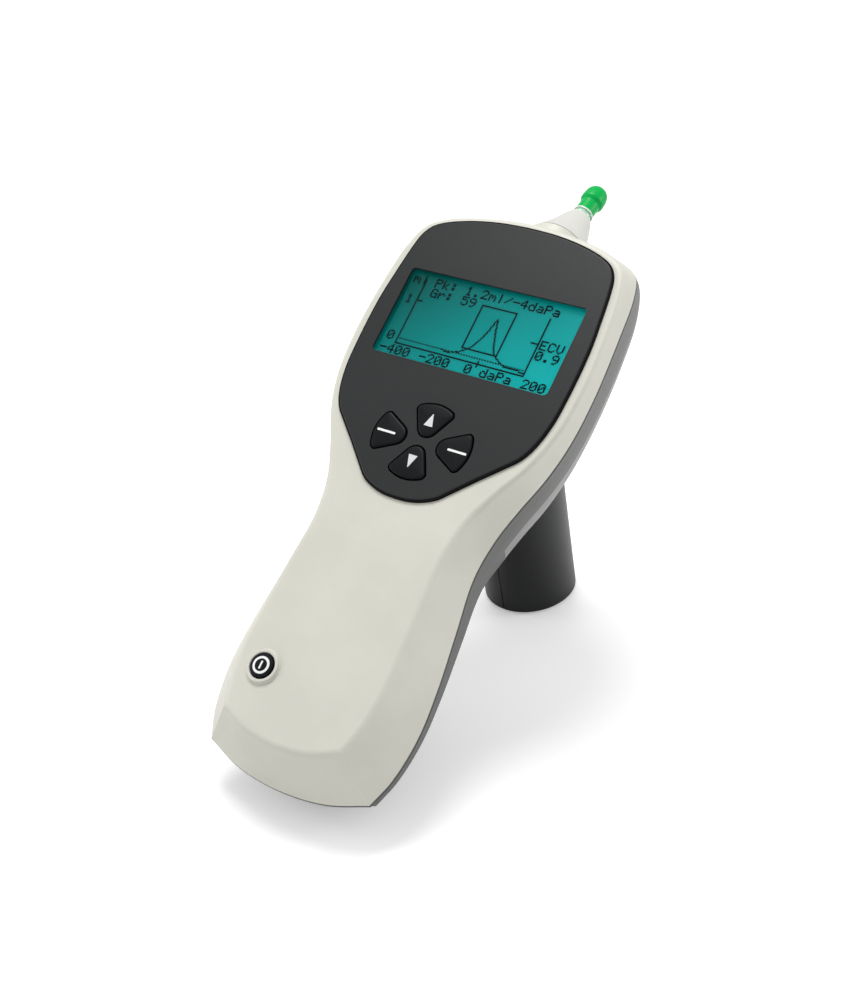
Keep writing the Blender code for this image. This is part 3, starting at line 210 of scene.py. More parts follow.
def grow(bm, loop, places):
    edges = [bm.edges.get((a, b)) for a, b in zip(loop, loop[1:] + loop[:1])]
    grown = bmesh.ops.extrude_edge_only(bm, edges=edges)["geom"]
    made = {g for g in grown if isinstance(g, bmesh.types.BMVert)}
    after = [nextAlong(old, lambda v: v in made) for old in loop]
    for vert, place in zip(after, places):
        vert.co = place
    return after


def shutAcross(bm, loop):
    front = max(range(len(loop)), key=lambda i: loop[i].co.y)
    count = len(loop)
    for i in range(count // 2):
        corners = [loop[k % count] for k in (front - i, front + i, front + i + 1, front - i - 1)]
        bm.faces.new([c for k, c in enumerate(corners) if c not in corners[:k]])


def skin(rings, across=False):
    bm = bmesh.new()
    first = last = loopFrom(bm, rings[0])
    for ring in rings[1:]:
        last = grow(bm, last, ring)
    for end in (first, last):
        if across:
            shutAcross(bm, end)
        else:
            bm.faces.new(end)
    return bm


def prism(outline, low, high):
    return skin([atHeight(outline, low), atHeight(outline, high)])


def spun(profile, steps, closed=False):
    bm = bmesh.new()
    verts = [bm.verts.new((r, 0, z)) for r, z in profile]
    edges = [bm.edges.new(pair) for pair in zip(verts, verts[1:] + (verts[:1] if closed else []))]
    bmesh.ops.spin(bm, geom=verts + edges, cent=(0, 0, 0), axis=(0, 0, 1), angle=2 * pi, steps=steps,
                   use_merge=True)
    bmesh.ops.remove_doubles(bm, verts=bm.verts, dist=sameSpot)
    return bm


def softProfile(points, radius, steps=5, mostShare=0.45):
    line = [Vector(points[0])]
    for before, corner, after in zip(points, points[1:], points[2:]):
        before, corner, after = Vector(before), Vector(corner), Vector(after)
        size = min(radius, (before - corner).length * mostShare, (after - corner).length * mostShare)
        start = corner + (before - corner).normalized() * size
        end = corner + (after - corner).normalized() * size
        line += [curvePoint(start, corner, end, k / steps) for k in range(steps + 1)]
    return line + [Vector(points[-1])]


def newObject(name, data):
    made = bpy.data.objects.new(name, data)
    bpy.context.scene.collection.objects.link(made)
    return made


def meshFrom(name, bm, place):
    bmesh.ops.recalc_face_normals(bm, faces=bm.faces)
    bmesh.ops.transform(bm, matrix=place, verts=bm.verts)
    mesh = bpy.data.meshes.new(name)
    bm.to_mesh(mesh)
    bm.free()
    return newObject(name, mesh)


def applied(piece):
    bpy.context.view_layer.update()
    mesh = bpy.data.meshes.new_from_object(piece.evaluated_get(bpy.context.evaluated_depsgraph_get()))
    piece.modifiers.clear()
    piece.data = mesh
    return piece


def carve(piece, cutter, operation="DIFFERENCE"):
    modifier = piece.modifiers.new("carve", "BOOLEAN")
    modifier.operation = operation
    modifier.solver = "EXACT"
    modifier.object = cutter
    applied(piece)
    bpy.data.objects.remove(cutter)


def softenEdges(piece, width, segments=2, angle=40):
    modifier = piece.modifiers.new("soften", "BEVEL")
    modifier.width = width
    modifier.segments = segments
    modifier.limit_method = "ANGLE"
    modifier.angle_limit = radians(angle)
    applied(piece)


def finishPiece(piece, body, slot, nodes=(), sharp=32, finish=None):
    piece.data.materials.clear()
    piece.data.materials.append(finish or finishes[slot])
    piece.data.shade_smooth()
    piece.data.set_sharp_from_angle(angle=radians(sharp))
    flatten = piece.modifiers.new("flatten", "WEIGHTED_NORMAL")
    flatten.weight = 100
    flatten.keep_sharp = True
    applied(piece)
    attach(piece, body)
    if nodes:
        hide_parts(*nodes)
    return piece


# Finishes

def newFinish(name):
    finish = bpy.data.materials.new(name)
    finish.use_nodes = True
    nodes = finish.node_tree.nodes
    return finish, nodes, finish.node_tree.links, nodes["Principled BSDF"]


def addNode(nodes, kind, **values):
    node = nodes.new(kind)
    for key, value in values.items():
        if key in node.inputs:
            node.inputs[key].default_value = value
        else:
            setattr(node, key, value)
    return node


grainForm = {
    "cloudScale": 38.0, "cloudDetail": 4.0, "cloudRoughness": 0.6, "cloudLow": 0.35, "cloudHigh": 0.65,
    "fineDetail": 3.0, "fineRoughness": 0.7, "bump": 0.5, "leastRoughness": 0.02,
}


def mouldedFinish(name, colour, roughness, mottle=0.03, grain=2600.0, depth=0.00002, coat=0.0, metallic=0.0,
                  specular=0.5, spread=0.06):
    g = grainForm
    finish, nodes, links, shader = newFinish(name)
    place = addNode(nodes, "ShaderNodeTexCoord")
    cloud = addNode(nodes, "ShaderNodeTexNoise", Scale=g["cloudScale"], Detail=g["cloudDetail"],
                    Roughness=g["cloudRoughness"])
    links.new(place.outputs["Object"], cloud.inputs["Vector"])
    ramp = addNode(nodes, "ShaderNodeValToRGB")
    dark, light = ramp.color_ramp.elements
    dark.position, light.position = g["cloudLow"], g["cloudHigh"]
    dark.color = (*[c * (1 - mottle) for c in colour], 1)
    light.color = (*[min(c * (1 + mottle), 1) for c in colour], 1)
    links.new(cloud.outputs["Fac"], ramp.inputs["Fac"])
    links.new(ramp.outputs["Color"], shader.inputs["Base Color"])
    fine = addNode(nodes, "ShaderNodeTexNoise", Scale=grain, Detail=g["fineDetail"],
                   Roughness=g["fineRoughness"])
    links.new(place.outputs["Object"], fine.inputs["Vector"])
    rough = addNode(nodes, "ShaderNodeMapRange")
    rough.inputs["To Min"].default_value = max(roughness - spread, g["leastRoughness"])
    rough.inputs["To Max"].default_value = min(roughness + spread, 1)
    links.new(fine.outputs["Fac"], rough.inputs["Value"])
    links.new(rough.outputs["Result"], shader.inputs["Roughness"])
    bump = addNode(nodes, "ShaderNodeBump", Strength=g["bump"], Distance=depth)
    links.new(fine.outputs["Fac"], bump.inputs["Height"])
    links.new(bump.outputs["Normal"], shader.inputs["Normal"])
    shader.inputs["Metallic"].default_value = metallic
    shader.inputs["Specular IOR Level"].default_value = specular
    shader.inputs["Coat Weight"].default_value = coat
    return finish


def glassFinish(name, colour, roughness, ior=1.45, weight=1.0, specular=0.5):
    finish = mouldedFinish(name, colour, roughness, mottle=0.01, grain=900.0, depth=0.000002, spread=0.015,
                           specular=specular)
    shader = finish.node_tree.nodes["Principled BSDF"]
    shader.inputs["Transmission Weight"].default_value = weight
    shader.inputs["IOR"].default_value = ior
    return finish


finishes = {
    "cream_case": mouldedFinish("creamCaseMoulding", (0.605, 0.597, 0.528), 0.42),
    # Painted light: the lower shells are one grey; the underside cover at the head is painted lighter than
    # the lower case and door
    "grey_case": mouldedFinish("greyCaseMoulding", (0.100, 0.103, 0.098), 0.46),
    "light_grey_case": mouldedFinish("greyCoverPaintedLight", (0.250, 0.255, 0.250), 0.46),
    "face_plate": mouldedFinish("facePlateLacquer", (0.0200, 0.0212, 0.0218), 0.36, mottle=0.05,
                                specular=0.25),
    "key_black": mouldedFinish("keyCapRubber", (0.0040, 0.0047, 0.0062), 0.40, mottle=0.08, specular=0.14),
    "leg_grey": mouldedFinish("legMoulding", (0.0085, 0.0098, 0.0094), 0.38, mottle=0.06, specular=0.34),
    "clear_lens": glassFinish("displayLens", (0.96, 0.99, 0.99), 0.03, ior=1.08, specular=0.1),
    "tip_green": mouldedFinish("greenSilicone", (0.0, 0.385, 0.072), 0.30, specular=0.15, grain=1400.0,
                               depth=0.000008),
    "clear_nozzle": glassFinish("clearNozzle", (0.60, 0.92, 0.70), 0.10, weight=0.35),
    "cone_white": mouldedFinish("coneMoulding", (0.600, 0.594, 0.562), 0.38, grain=1800.0, depth=0.000012),
    "rubber_black": mouldedFinish("blackRubber", (0.018, 0.018, 0.018), 0.80, mottle=0.10, depth=0.00004),
    "board_green": mouldedFinish("solderMask", (0.015, 0.150, 0.050), 0.42, mottle=0.12, coat=0.3),
    "chip_black": mouldedFinish("chipMoulding", (0.020, 0.020, 0.022), 0.55, mottle=0.10),
    "bare_steel": mouldedFinish("plainSteel", (0.560, 0.560, 0.580), 0.30, mottle=0.05, metallic=1.0,
                                grain=1500.0),
    "battery_skin": mouldedFinish("cellSleeve", (0.045, 0.048, 0.055), 0.30, mottle=0.05, metallic=0.4),
    "inner_plastic": mouldedFinish("innerMoulding", (0.090, 0.090, 0.100), 0.52, mottle=0.06),
    "white_plastic": mouldedFinish("whiteMoulding", (0.720, 0.720, 0.700), 0.45),
    "flex_amber": mouldedFinish("flexFilm", (0.480, 0.230, 0.045), 0.36, mottle=0.10),
    "clear_tube": glassFinish("siliconeTube", (0.85, 0.88, 0.88), 0.25, weight=0.7),
}

def displayFinish():
    # Painted light: the display glows, darker towards the upper left and lighter towards the lower right
    values = {"dark": (0.000, 0.052, 0.046), "light": (0.000, 0.228, 0.222), "glow": 0.80,
              "from": (-0.018, 0.037), "to": (0.018, -0.003), "shade": 0.75, "shadeWidth": 0.0008,
              "specular": 0.1, "roughness": 0.35}
    finish, nodes, links, shader = newFinish("displayPaintedGlow")
    place = addNode(nodes, "ShaderNodeTexCoord")
    turn = addNode(nodes, "ShaderNodeMapping")
    turn.inputs["Rotation"].default_value = toBody.to_euler()
    turn.inputs["Location"].default_value = toBody.translation
    links.new(place.outputs["Object"], turn.inputs["Vector"])
    split = addNode(nodes, "ShaderNodeSeparateXYZ")
    links.new(turn.outputs["Vector"], split.inputs["Vector"])
    start, end = Vector(values["from"]), Vector(values["to"])
    rate = (end - start) / (end - start).length_squared
    across = addNode(nodes, "ShaderNodeMath", operation="MULTIPLY_ADD")
    across.inputs[1].default_value = rate.x
    across.inputs[2].default_value = -start.dot(rate)
    links.new(split.outputs["X"], across.inputs[0])
    along = addNode(nodes, "ShaderNodeMath", operation="MULTIPLY_ADD")
    along.inputs[1].default_value = rate.y
    links.new(split.outputs["Y"], along.inputs[0])
    links.new(across.outputs[0], along.inputs[2])
    ramp = addNode(nodes, "ShaderNodeValToRGB")
    ramp.color_ramp.elements[0].color = (*values["dark"], 1)
    ramp.color_ramp.elements[1].color = (*values["light"], 1)
    links.new(along.outputs[0], ramp.inputs["Fac"])
    # The window's left and top walls shade the display beside them
    shades = []
    for axis, edge, way in (("X", -windowForm["half"], 1), ("Y", windowForm["high"], -1)):
        shade = addNode(nodes, "ShaderNodeMapRange")
        shade.inputs["From Min"].default_value = edge
        shade.inputs["From Max"].default_value = edge + way * values["shadeWidth"]
        shade.inputs["To Min"].default_value = values["shade"]
        links.new(split.outputs[axis], shade.inputs["Value"])
        shades.append(shade)
    both = addNode(nodes, "ShaderNodeMath", operation="MULTIPLY")
    links.new(shades[0].outputs["Result"], both.inputs[0])
    links.new(shades[1].outputs["Result"], both.inputs[1])
    shaded = addNode(nodes, "ShaderNodeVectorMath", operation="SCALE")
    links.new(ramp.outputs["Color"], shaded.inputs[0])
    links.new(both.outputs[0], shaded.inputs["Scale"])
    links.new(shaded.outputs["Vector"], shader.inputs["Base Color"])
    links.new(shaded.outputs["Vector"], shader.inputs["Emission Color"])
    shader.inputs["Specular IOR Level"].default_value = values["specular"]
    shader.inputs["Emission Strength"].default_value = values["glow"]
    shader.inputs["Roughness"].default_value = values["roughness"]
    return finish


finishes["display_teal"] = displayFinish()
inkDark = mouldedFinish("displayDots", (0.000, 0.012, 0.016), 0.60, mottle=0.02, specular=0.1)
# Near-black for the plate's side wall: partly its own dark colour, partly painted shade of the groove
skirtBlackAndShade = mouldedFinish("plateSkirtBlackAndShade", (0.0030, 0.0030, 0.0035), 0.70, mottle=0.05, specular=0.10)
markPale = mouldedFinish("keyMarkInk", (0.620, 0.640, 0.650), 0.45, mottle=0.02)
markWhite = mouldedFinish("buttonMarkInk", (0.820, 0.820, 0.820), 0.45, mottle=0.02)
print("finishes ready")

# Every CAD piece gets its finish; the visible ones are replaced by finer pieces below
slotOf = {row["node"]: row["material_slot"] for row in frame["record"]["subparts"]}
for nodeName, solid in frame["nodes"].items():
    solid.data.materials.clear()
    solid.data.materials.append(finishes[slotOf[nodeName]])
print("inner pieces finished")


# Case shells

def upperRings():
    f = caseForm
    half, top, steps = f["gap"] / 2, f["top"], f["softSteps"]
    seamRing = seamLevel(caseOutline(f["seamOut"]), half)
    faceRing = atHeight(caseOutline(), top - f["edge"])
    faceIn = atHeight(caseOutline(inset=f["edge"]), top)
    corner, ramp, flat = [], [], []
    for low, edge, inner in zip(seamRing, faceRing, faceIn):
        peak = edge + (edge - low) * ((top - edge.z) / (edge.z - low.z))
        inward = Vector((inner.x - edge.x, inner.y - edge.y, 0)).normalized()
        corner.append(peak)
        ramp.append(peak + (low - peak).normalized() * f["softEdge"])
        flat.append(peak + inward * f["softEdge"])
    rings = [seamLevel(caseOutline(f["seamOut"], f["lip"]), half),
             [low.lerp(up, f["lipRise"] / (up - low).length) for low, up in zip(seamRing, ramp)]]
    for k in range(steps + 1):
        rings.append([curvePoint(a, c, b, k / steps) for a, c, b in zip(ramp, corner, flat)])
    inside = [atHeight(caseOutline(inset=f["edge"] + f["wall"]), top - f["wall"]),
              atHeight(caseOutline(inset=f["wall"]), top - f["wall"] - f["edge"]),
              seamLevel(caseOutline(f["seamOut"], f["wall"]), half)]
    return inside + rings


def lowerRings():
    f = caseForm
    half = f["gap"] / 2

    def stations(inset):
        rows = [seamLevel(caseOutline(f["seamOut"], inset), -half),
                atHeight(caseOutline(f["shoulderOut"], inset), f["shoulder"])]
        for head, side, end, depth in f["roundRows"]:
            h, s, e = head * f["round"], side * f["round"], end * f["round"]
            outline = caseOutline([o - k for o, k in zip(f["shoulderOut"], (h, s, s, e, e))], inset)
            drops = [depth * (undersideHeight(p.y) + inset - f["shoulder"]) for p in outline]
            rows.append([Vector((p.x, p.y, f["shoulder"] + drop)) for p, drop in zip(outline, drops)])
        return rows

    columns = [smoothLine(column, f["columnSteps"]) for column in zip(*stations(0.0))]
    rings = [list(ring) for ring in zip(*columns)]
    rings[0] = seamLevel(caseOutline(f["seamOut"], f["lip"]), -half)
    rings.insert(1, seamLevel(caseOutline(f["seamOut"]), -half - f["lipRise"]))
    return stations(f["wall"])[::-1] + rings


panelForm = {
    "halfWidth": 0.0377, "top": 0.0541, "bottom": 0.0429, "thickness": 0.0018, "edge": 0.0004, "edgeSteps": 4,
    "groove": 0.0006, "skirt": (0.0005, -0.0004), "wellMargin": 0.0018, "lensMargin": 0.0018,
    "lensLip": 0.0008, "softEdge": 0.00015, "steps": 6,
    # Rows: share of the half width, share of the length above or below the zero line
    "upperRows": ((0, 1), (0.270, 0.992), (0.530, 0.964), (0.753, 0.917), (0.850, 0.877), (0.906, 0.817),
                  (0.935, 0.730), (0.970, 0.540), (0.995, 0.360), (1, 0.180), (0.995, 0.040)),
    "lowerRows": ((0.980, 0.150), (0.928, 0.350), (0.860, 0.470), (0.750, 0.570), (0.590, 0.705),
                  (0.420, 0.855), (0.335, 0.925), (0.220, 0.972), (0.110, 0.995), (0, 1)),
}


def panelOutline(inset=0.0):
    p = panelForm
    rows = [(x * p["halfWidth"], y * p["top"]) for x, y in p["upperRows"]]
    rows += [(x * p["halfWidth"], -y * p["bottom"]) for x, y in p["lowerRows"]]
    return movedOut(mirrored(smoothLine(rows, p["steps"])), -inset)


def windowOutline(margin=0.0):
    w = windowForm
    return rectangle(w["half"] + margin, w["low"] - margin, w["high"] + margin, w["corner"])


keyForm = {
    "cross": -0.0240, "length": 0.0116, "sideStart": 0.0059, "endStart": 0.0018, "tipHalf": 0.0069,
    "innerHalf": 0.0022, "bulge": 0.0027, "innerRadius": 0.0034, "tipRadius": 0.0009, "arcSteps": 8,
    "rise": 0.0007, "dome": 0.0002, "domeShares": (0.85, 0.65, 0.45, 0.25), "round": 0.0006, "roundSteps": 6,
    "clearance": 0.0005, "caseClearance": 0.0009, "low": -0.0041, "flangeTop": -0.0033, "flange": 0.0008,
    "sharp": 40,
}
keyRows = {
    "up_button": {"turn": 0.0, "start": keyForm["endStart"], "body": "up_key"},
    "right_button": {"turn": -pi / 2, "start": keyForm["sideStart"], "body": "right_key"},
    "down_button": {"turn": pi, "start": keyForm["endStart"], "body": "down_key"},
    "left_button": {"turn": pi / 2, "start": keyForm["sideStart"], "body": "left_key"},
}


def keyOutline(name, out=0.0):
    k, start = keyForm, keyRows[name]["start"]
    side = start + k["length"] - k["bulge"]
    corners = ((-k["innerHalf"], start), (-k["tipHalf"], side), (k["tipHalf"], side), (k["innerHalf"], start))
    petal = roundedCorners(corners, [k["innerRadius"], k["tipRadius"], k["tipRadius"], k["innerRadius"]])
    # The outer side is split up, and the petal is then bowed outwards
    arc = []
    for a, b in zip(petal, petal[1:] + petal[:1]):
        outer = abs(a.y - side) + abs(b.y - side) < sameSpot
        arc += [a.lerp(b, s / k["arcSteps"]) for s in range(k["arcSteps"])] if outer else [a]
    bent = []
    for p in arc:
        bow = k["bulge"] * max(p.y - start, 0) / k["length"] * (1 - (p.x / k["tipHalf"]) ** 2)
        bent.append(Vector((p.x, p.y + bow)))
    return movedOut(bent, out)


def keyPlace(name):
    middle = Matrix.Translation((0, keyForm["cross"], 0))
    return placeOnBody @ middle @ Matrix.Rotation(keyRows[name]["turn"], 4, "Z")


buttonForm = {
    "x": -0.0148, "y": -0.1050, "radius": 0.0038, "clearance": 0.0003, "steps": 72,
    "collarWidth": 0.0012, "collarRise": 0.0011, "collarDraft": 0.0001, "collarFoot": (0.0005, 0.0004),
    "collarRound": 0.0004, "collarSeat": 0.00002,
    "rise": 0.0003, "dome": 0.0004, "domeShares": (0, 0.15, 0.3, 0.45, 0.6, 0.75, 0.88),
    "travelFlange": 0.0008, "rimShare": 0.96, "rimTop": 0.00002, "rimLow": 0.0003,
    "ring": (0.00200, 0.00275), "ringRoot": 0.0002, "bar": (0.00030, 0.00130, 0.00028), "barRoot": 0.0003,
    "proud": 0.00005,
}
placeOnButton = placeOnBody @ Matrix.Translation((buttonForm["x"], buttonForm["y"], 0))

padForm = {
    "y": -0.130181, "half": 0.0105, "length": 0.0032, "clearance": 0.0003, "seat": -0.0033, "cutTop": 0.0020,
    # Rows: out from the outline, and depth below the floor
    "rows": ((0, -0.0030), (0, -0.0003), (-0.0001, -0.0001), (-0.0003, 0)),
}
placeOnPad = (placeOnBody @ Matrix.Translation(toBody @ Vector((0, padForm["y"], 0)))
              @ Matrix.Rotation(pi - stance["tilt"], 4, "X"))


def padOutline(out=0.0):
    half, length = padForm["half"], padForm["length"]
    return rectangle(half + out, -length - out, length + out, length / 2 + out)


cutterForm = {
    "top": 0.0040, "low": -0.0060, "plateLow": -0.0040, "plateSeat": -0.0021,
    "far": 0.0700, "front": 0.1200, "bottom": -0.0500,
}


def cutterFrom(bm, place=placeOnBody):
    return meshFrom("cutter", bm, place)


def cutHole(piece, outline, place=placeOnBody, low=cutterForm["low"], top=cutterForm["top"]):
    carve(piece, cutterFrom(prism(outline, low, top), place))


def probeOpening():
    low, top = probeForm["openingReach"]
    return cutterFrom(prism(circle(probeForm["opening"], probeForm["tipSteps"]), low, top), placeOnProbe)


def makeUpperCase():
    b = buttonForm
    top, low = caseForm["top"], caseForm["top"] - caseForm["wall"]
    case = meshFrom("creamUpperCase", skin(upperRings()), placeOnBody)
    cutHole(case, panelOutline(-panelForm["groove"]), low=cutterForm["plateSeat"])
    cutHole(case, windowOutline(panelForm["wellMargin"]))
    for name in keyRows:
        cutHole(case, keyOutline(name, keyForm["caseClearance"]), keyPlace(name))
    hole = b["radius"] + b["clearance"] + b["collarWidth"] / 2
    cutHole(case, circle(hole, b["steps"]), placeOnButton)
    carve(case, probeOpening())
    finishPiece(case, "case", "cream_case", ["upper_case"], caseForm["sharp"])

    inner, outer = b["radius"] + b["clearance"], b["radius"] + b["clearance"] + b["collarWidth"]
    seat, (footOut, footRise) = hole - b["collarSeat"], b["collarFoot"]
    rim = top + b["collarRise"]
    profile = [(inner, low), (inner, rim), (outer - b["collarDraft"], rim), (outer, top + footRise),
               (outer + footOut, top), (seat, top), (seat, low)]
    ring = spun(softProfile(profile, b["collarRound"]), b["steps"], closed=True)
    finishPiece(meshFrom("buttonCollar", ring, placeOnButton), "case", "cream_case")
    print("upper case made")


doorForm = {
    "half": 0.0225, "front": -0.0668, "back": -0.1185, "level": -0.0270, "bottom": -0.0450,
    "softEdge": 0.0002, "grips": 5, "gripStart": -0.0760, "gripPitch": 0.0024, "gripHalf": 0.0090,
    "gripWidth": 0.0006, "gripRound": 0.00055, "gripSteps": 4, "gripReach": (-0.0020, 0.0006),
}
screwForm = {
    "spots": (("case_screw_1", "undersideCoverPaintedLight", 0.0165, 0.0428, "headBottom"),
              ("case_screw_2", "undersideCoverPaintedLight", -0.0165, 0.0428, "headBottom"),
              ("case_screw_3", "greyLowerCase", 0.0120, -0.0570, "handleBottom"),
              ("case_screw_4", "greyLowerCase", -0.0120, -0.0570, "handleBottom")),
    # Rows: radius, and height above the underside
    "rows": ((0, 0.0105), (0.0011, 0.0105), (0.0011, 0.0014), (0.0021, 0.0014), (0.0021, 0.0003),
             (0.0019, 0.0001), (0.0012, 0), (0, 0)),
    "steps": 32, "pocket": 0.0024, "pocketSteps": 40, "pocketReach": (-0.0020, 0.0017),
    "slotHalf": 0.0012, "slotWidth": 0.00024, "slotRound": 0.0001, "slotSteps": 2,
    "slotReach": (-0.0010, 0.0008),
}


def screwPlace(x, y):
    return placeOnBody @ Matrix.Translation((x, y, 0))


def makeLowerShells():
    f, d, s, c = caseForm, doorForm, screwForm, cutterForm
    shells = {}
    for name in ("greyLowerCase", "undersideCoverPaintedLight", "batteryCover"):
        shells[name] = meshFrom(name, skin(lowerRings(), across=True), placeOnBody)
    grey, paintedLitCover, door = shells.values()

    def block(half, back, front, low, top):
        corners = ((-half, back), (-half, front), (half, front), (half, back))
        return cutterFrom(prism([Vector(corner) for corner in corners], low, top))

    gap, back = f["gap"], -f["coverBack"]
    carve(paintedLitCover, block(c["far"], back, c["front"], c["bottom"], f["coverSeam"]), "INTERSECT")
    carve(grey, block(c["far"], back - gap, c["front"], c["bottom"], f["coverSeam"] + f["coverGap"]))
    carve(door, block(d["half"], d["back"], d["front"], d["bottom"], d["level"]), "INTERSECT")
    carve(grey, block(d["half"] + gap, d["back"] - gap, d["front"] + gap, d["bottom"], d["level"]))
    carve(grey, probeOpening())
    carve(paintedLitCover, probeOpening())
    low, top = s["pocketReach"]
    for name, shell, x, y, level in s["spots"]:
        pocket = circle(s["pocket"], s["pocketSteps"])
        cutHole(shells[shell], pocket, screwPlace(x, y), f[level] + low, f[level] + top)
    low, top = (f["handleBottom"] + reach for reach in d["gripReach"])
    for k in range(d["grips"]):
        y, thin = d["gripStart"] - k * d["gripPitch"], d["gripWidth"]
        grip = rectangle(d["gripHalf"], y - thin, y + thin, d["gripRound"], d["gripSteps"])
        cutHole(door, grip, placeOnBody, low, top)
    cutHole(grey, padOutline(padForm["clearance"]), placeOnPad, padForm["seat"], padForm["cutTop"])
    finishPiece(grey, "case", "grey_case", ["lower_case"], f["sharp"])
    # The underside cover takes the lighter grey, which is painted light
    finishPiece(paintedLitCover, "case", "light_grey_case", ["underside_cover"], f["sharp"])
    softenEdges(door, d["softEdge"])
    finishPiece(door, "battery_door", "grey_case", ["battery_cover"], f["sharp"])
    print("lower shells made")


def makeFacePlate():
    p, c = panelForm, cutterForm
    edge, thick = p["edge"], p["thickness"]
    rings = [atHeight(panelOutline(), -thick)]
    for a in quarterTurn(p["edgeSteps"]):
        rings.append(atHeight(panelOutline(edge * (1 - cos(a))), -edge + edge * sin(a)))
    plate = meshFrom("facePlate", skin(rings), placeOnBody)
    cutHole(plate, windowOutline(), low=c["plateLow"])
    cutHole(plate, windowOutline(p["lensMargin"]), low=c["plateLow"], top=-p["lensLip"])
    for name in keyRows:
        cutHole(plate, keyOutline(name, keyForm["clearance"]), keyPlace(name))
    softenEdges(plate, p["softEdge"])
    finishPiece(plate, "case", "face_plate", ["front_panel"], caseForm["sharp"])
    # A near-black band round the plate's foot: the plate's dark side wall, painted darker with the shade of
    # the groove to the case
    out, height = p["skirt"]
    skirt = meshFrom("facePlateSkirt", prism(panelOutline(-out), -thick, height), placeOnBody)
    cutHole(skirt, panelOutline(edge), low=c["plateLow"])
    finishPiece(skirt, "case", "face_plate", finish=skirtBlackAndShade)
    print("face plate made")


markForm = {
    "dash": (0.0033, 0.00036), "dashRoundShare": 0.95, "drop": 0.0002, "right": 0.0130, "left": -0.0124,
    "end": 0.0072, "arrow": ((-0.00155, -0.0021), (0, 0.002375), (0.00155, -0.0021)), "arrowRound": 0.00012,
    "arrowSteps": 3, "height": 0.00064, "root": 0.0003, "proud": 0.00006,
}


def makeKeyMark(name, ending, outline, x, y, turn, ink):
    m = markForm
    place = placeOnBody @ Matrix.Translation((x, keyForm["cross"] + y, 0)) @ Matrix.Rotation(turn, 4, "Z")
    bar = prism(outline, m["height"] - m["root"], m["height"] + m["proud"])
    mark = meshFrom(name.replace("_button", ending), bar, place)
    finishPiece(mark, keyRows[name]["body"], "key_black", finish=ink)


def makeKeys():
    k, m = keyForm, markForm
    for name, row in keyRows.items():
        def ring(out, height):
            return atHeight(keyOutline(name, out), height)
        rings = [ring(k["flange"], k["low"]), ring(k["flange"], k["flangeTop"]), ring(0.0, k["flangeTop"])]
        for a in quarterTurn(k["roundSteps"]):
            rings.append(ring(-k["round"] * (1 - cos(a)), k["rise"] - k["dome"] - k["round"] * (1 - sin(a))))
        centre = Vector((0, row["start"] + k["length"] / 2, 0))
        rim = [Vector((q.x, q.y, 0)) for q in rings[-1]]
        for share in k["domeShares"]:
            shrunk = [centre + (q - centre) * share for q in rim]
            rings.append(atHeight(shrunk, k["rise"] - k["dome"] * share * share))
        cap = meshFrom(name.replace("_button", "KeyCap"), skin(rings), keyPlace(name))
        finishPiece(cap, row["body"], "key_black", [name], k["sharp"])

    half, thin = m["dash"]
    dash = rectangle(half, -thin, thin, thin * m["dashRoundShare"])
    arrow = roundedCorners(m["arrow"], m["arrowRound"], m["arrowSteps"])
    for name in ("right", "left"):
        makeKeyMark(name + "_button", "Dash", dash, m[name], -m["drop"], 0, markWhite)
    for name, way in (("up", 1), ("down", -1)):
        makeKeyMark(name + "_button", "Arrow", arrow, 0, way * m["end"], 0 if way > 0 else pi, markPale)
    print("keys made")


def makePowerButton():
    b = buttonForm
    top = caseForm["top"] + b["collarRise"] + b["rise"]
    r, flange, proud = b["radius"], b["radius"] + b["travelFlange"], b["proud"]

    def domeAt(radius):
        return top + b["dome"] * (1 - (radius / r) ** 2)

    profile = [(r * share, top + b["dome"] * (1 - share * share)) for share in b["domeShares"]]
    profile += [(r * b["rimShare"], top + b["rimTop"]), (r, top - b["rimLow"]), (r, keyForm["flangeTop"]),
                (flange, keyForm["flangeTop"]), (flange, keyForm["low"]), (0, keyForm["low"])]
    cap = meshFrom("powerButtonCap", spun(profile, b["steps"]), placeOnButton)
    finishPiece(cap, "power_key", "key_black", ["power_button"], keyForm["sharp"])

    inner, outer = b["ring"]
    ring = [(inner, domeAt(inner) - b["ringRoot"]), (inner, domeAt(inner) + proud),
            (outer, domeAt(outer) + proud), (outer, domeAt(outer) - b["ringRoot"])]
    mark = meshFrom("powerRing", spun(ring, b["steps"], closed=True), placeOnButton)
    finishPiece(mark, "power_key", "key_black", finish=markWhite)
    half, high, corner = b["bar"]
    bar = prism(rectangle(half, -high, high, corner), domeAt(0) - b["barRoot"], domeAt(0) + proud)
    finishPiece(meshFrom("powerBar", bar, placeOnButton), "power_key", "key_black", finish=markWhite)
    print("power button made")


# Display: dot-matrix chart of middle-ear pressure

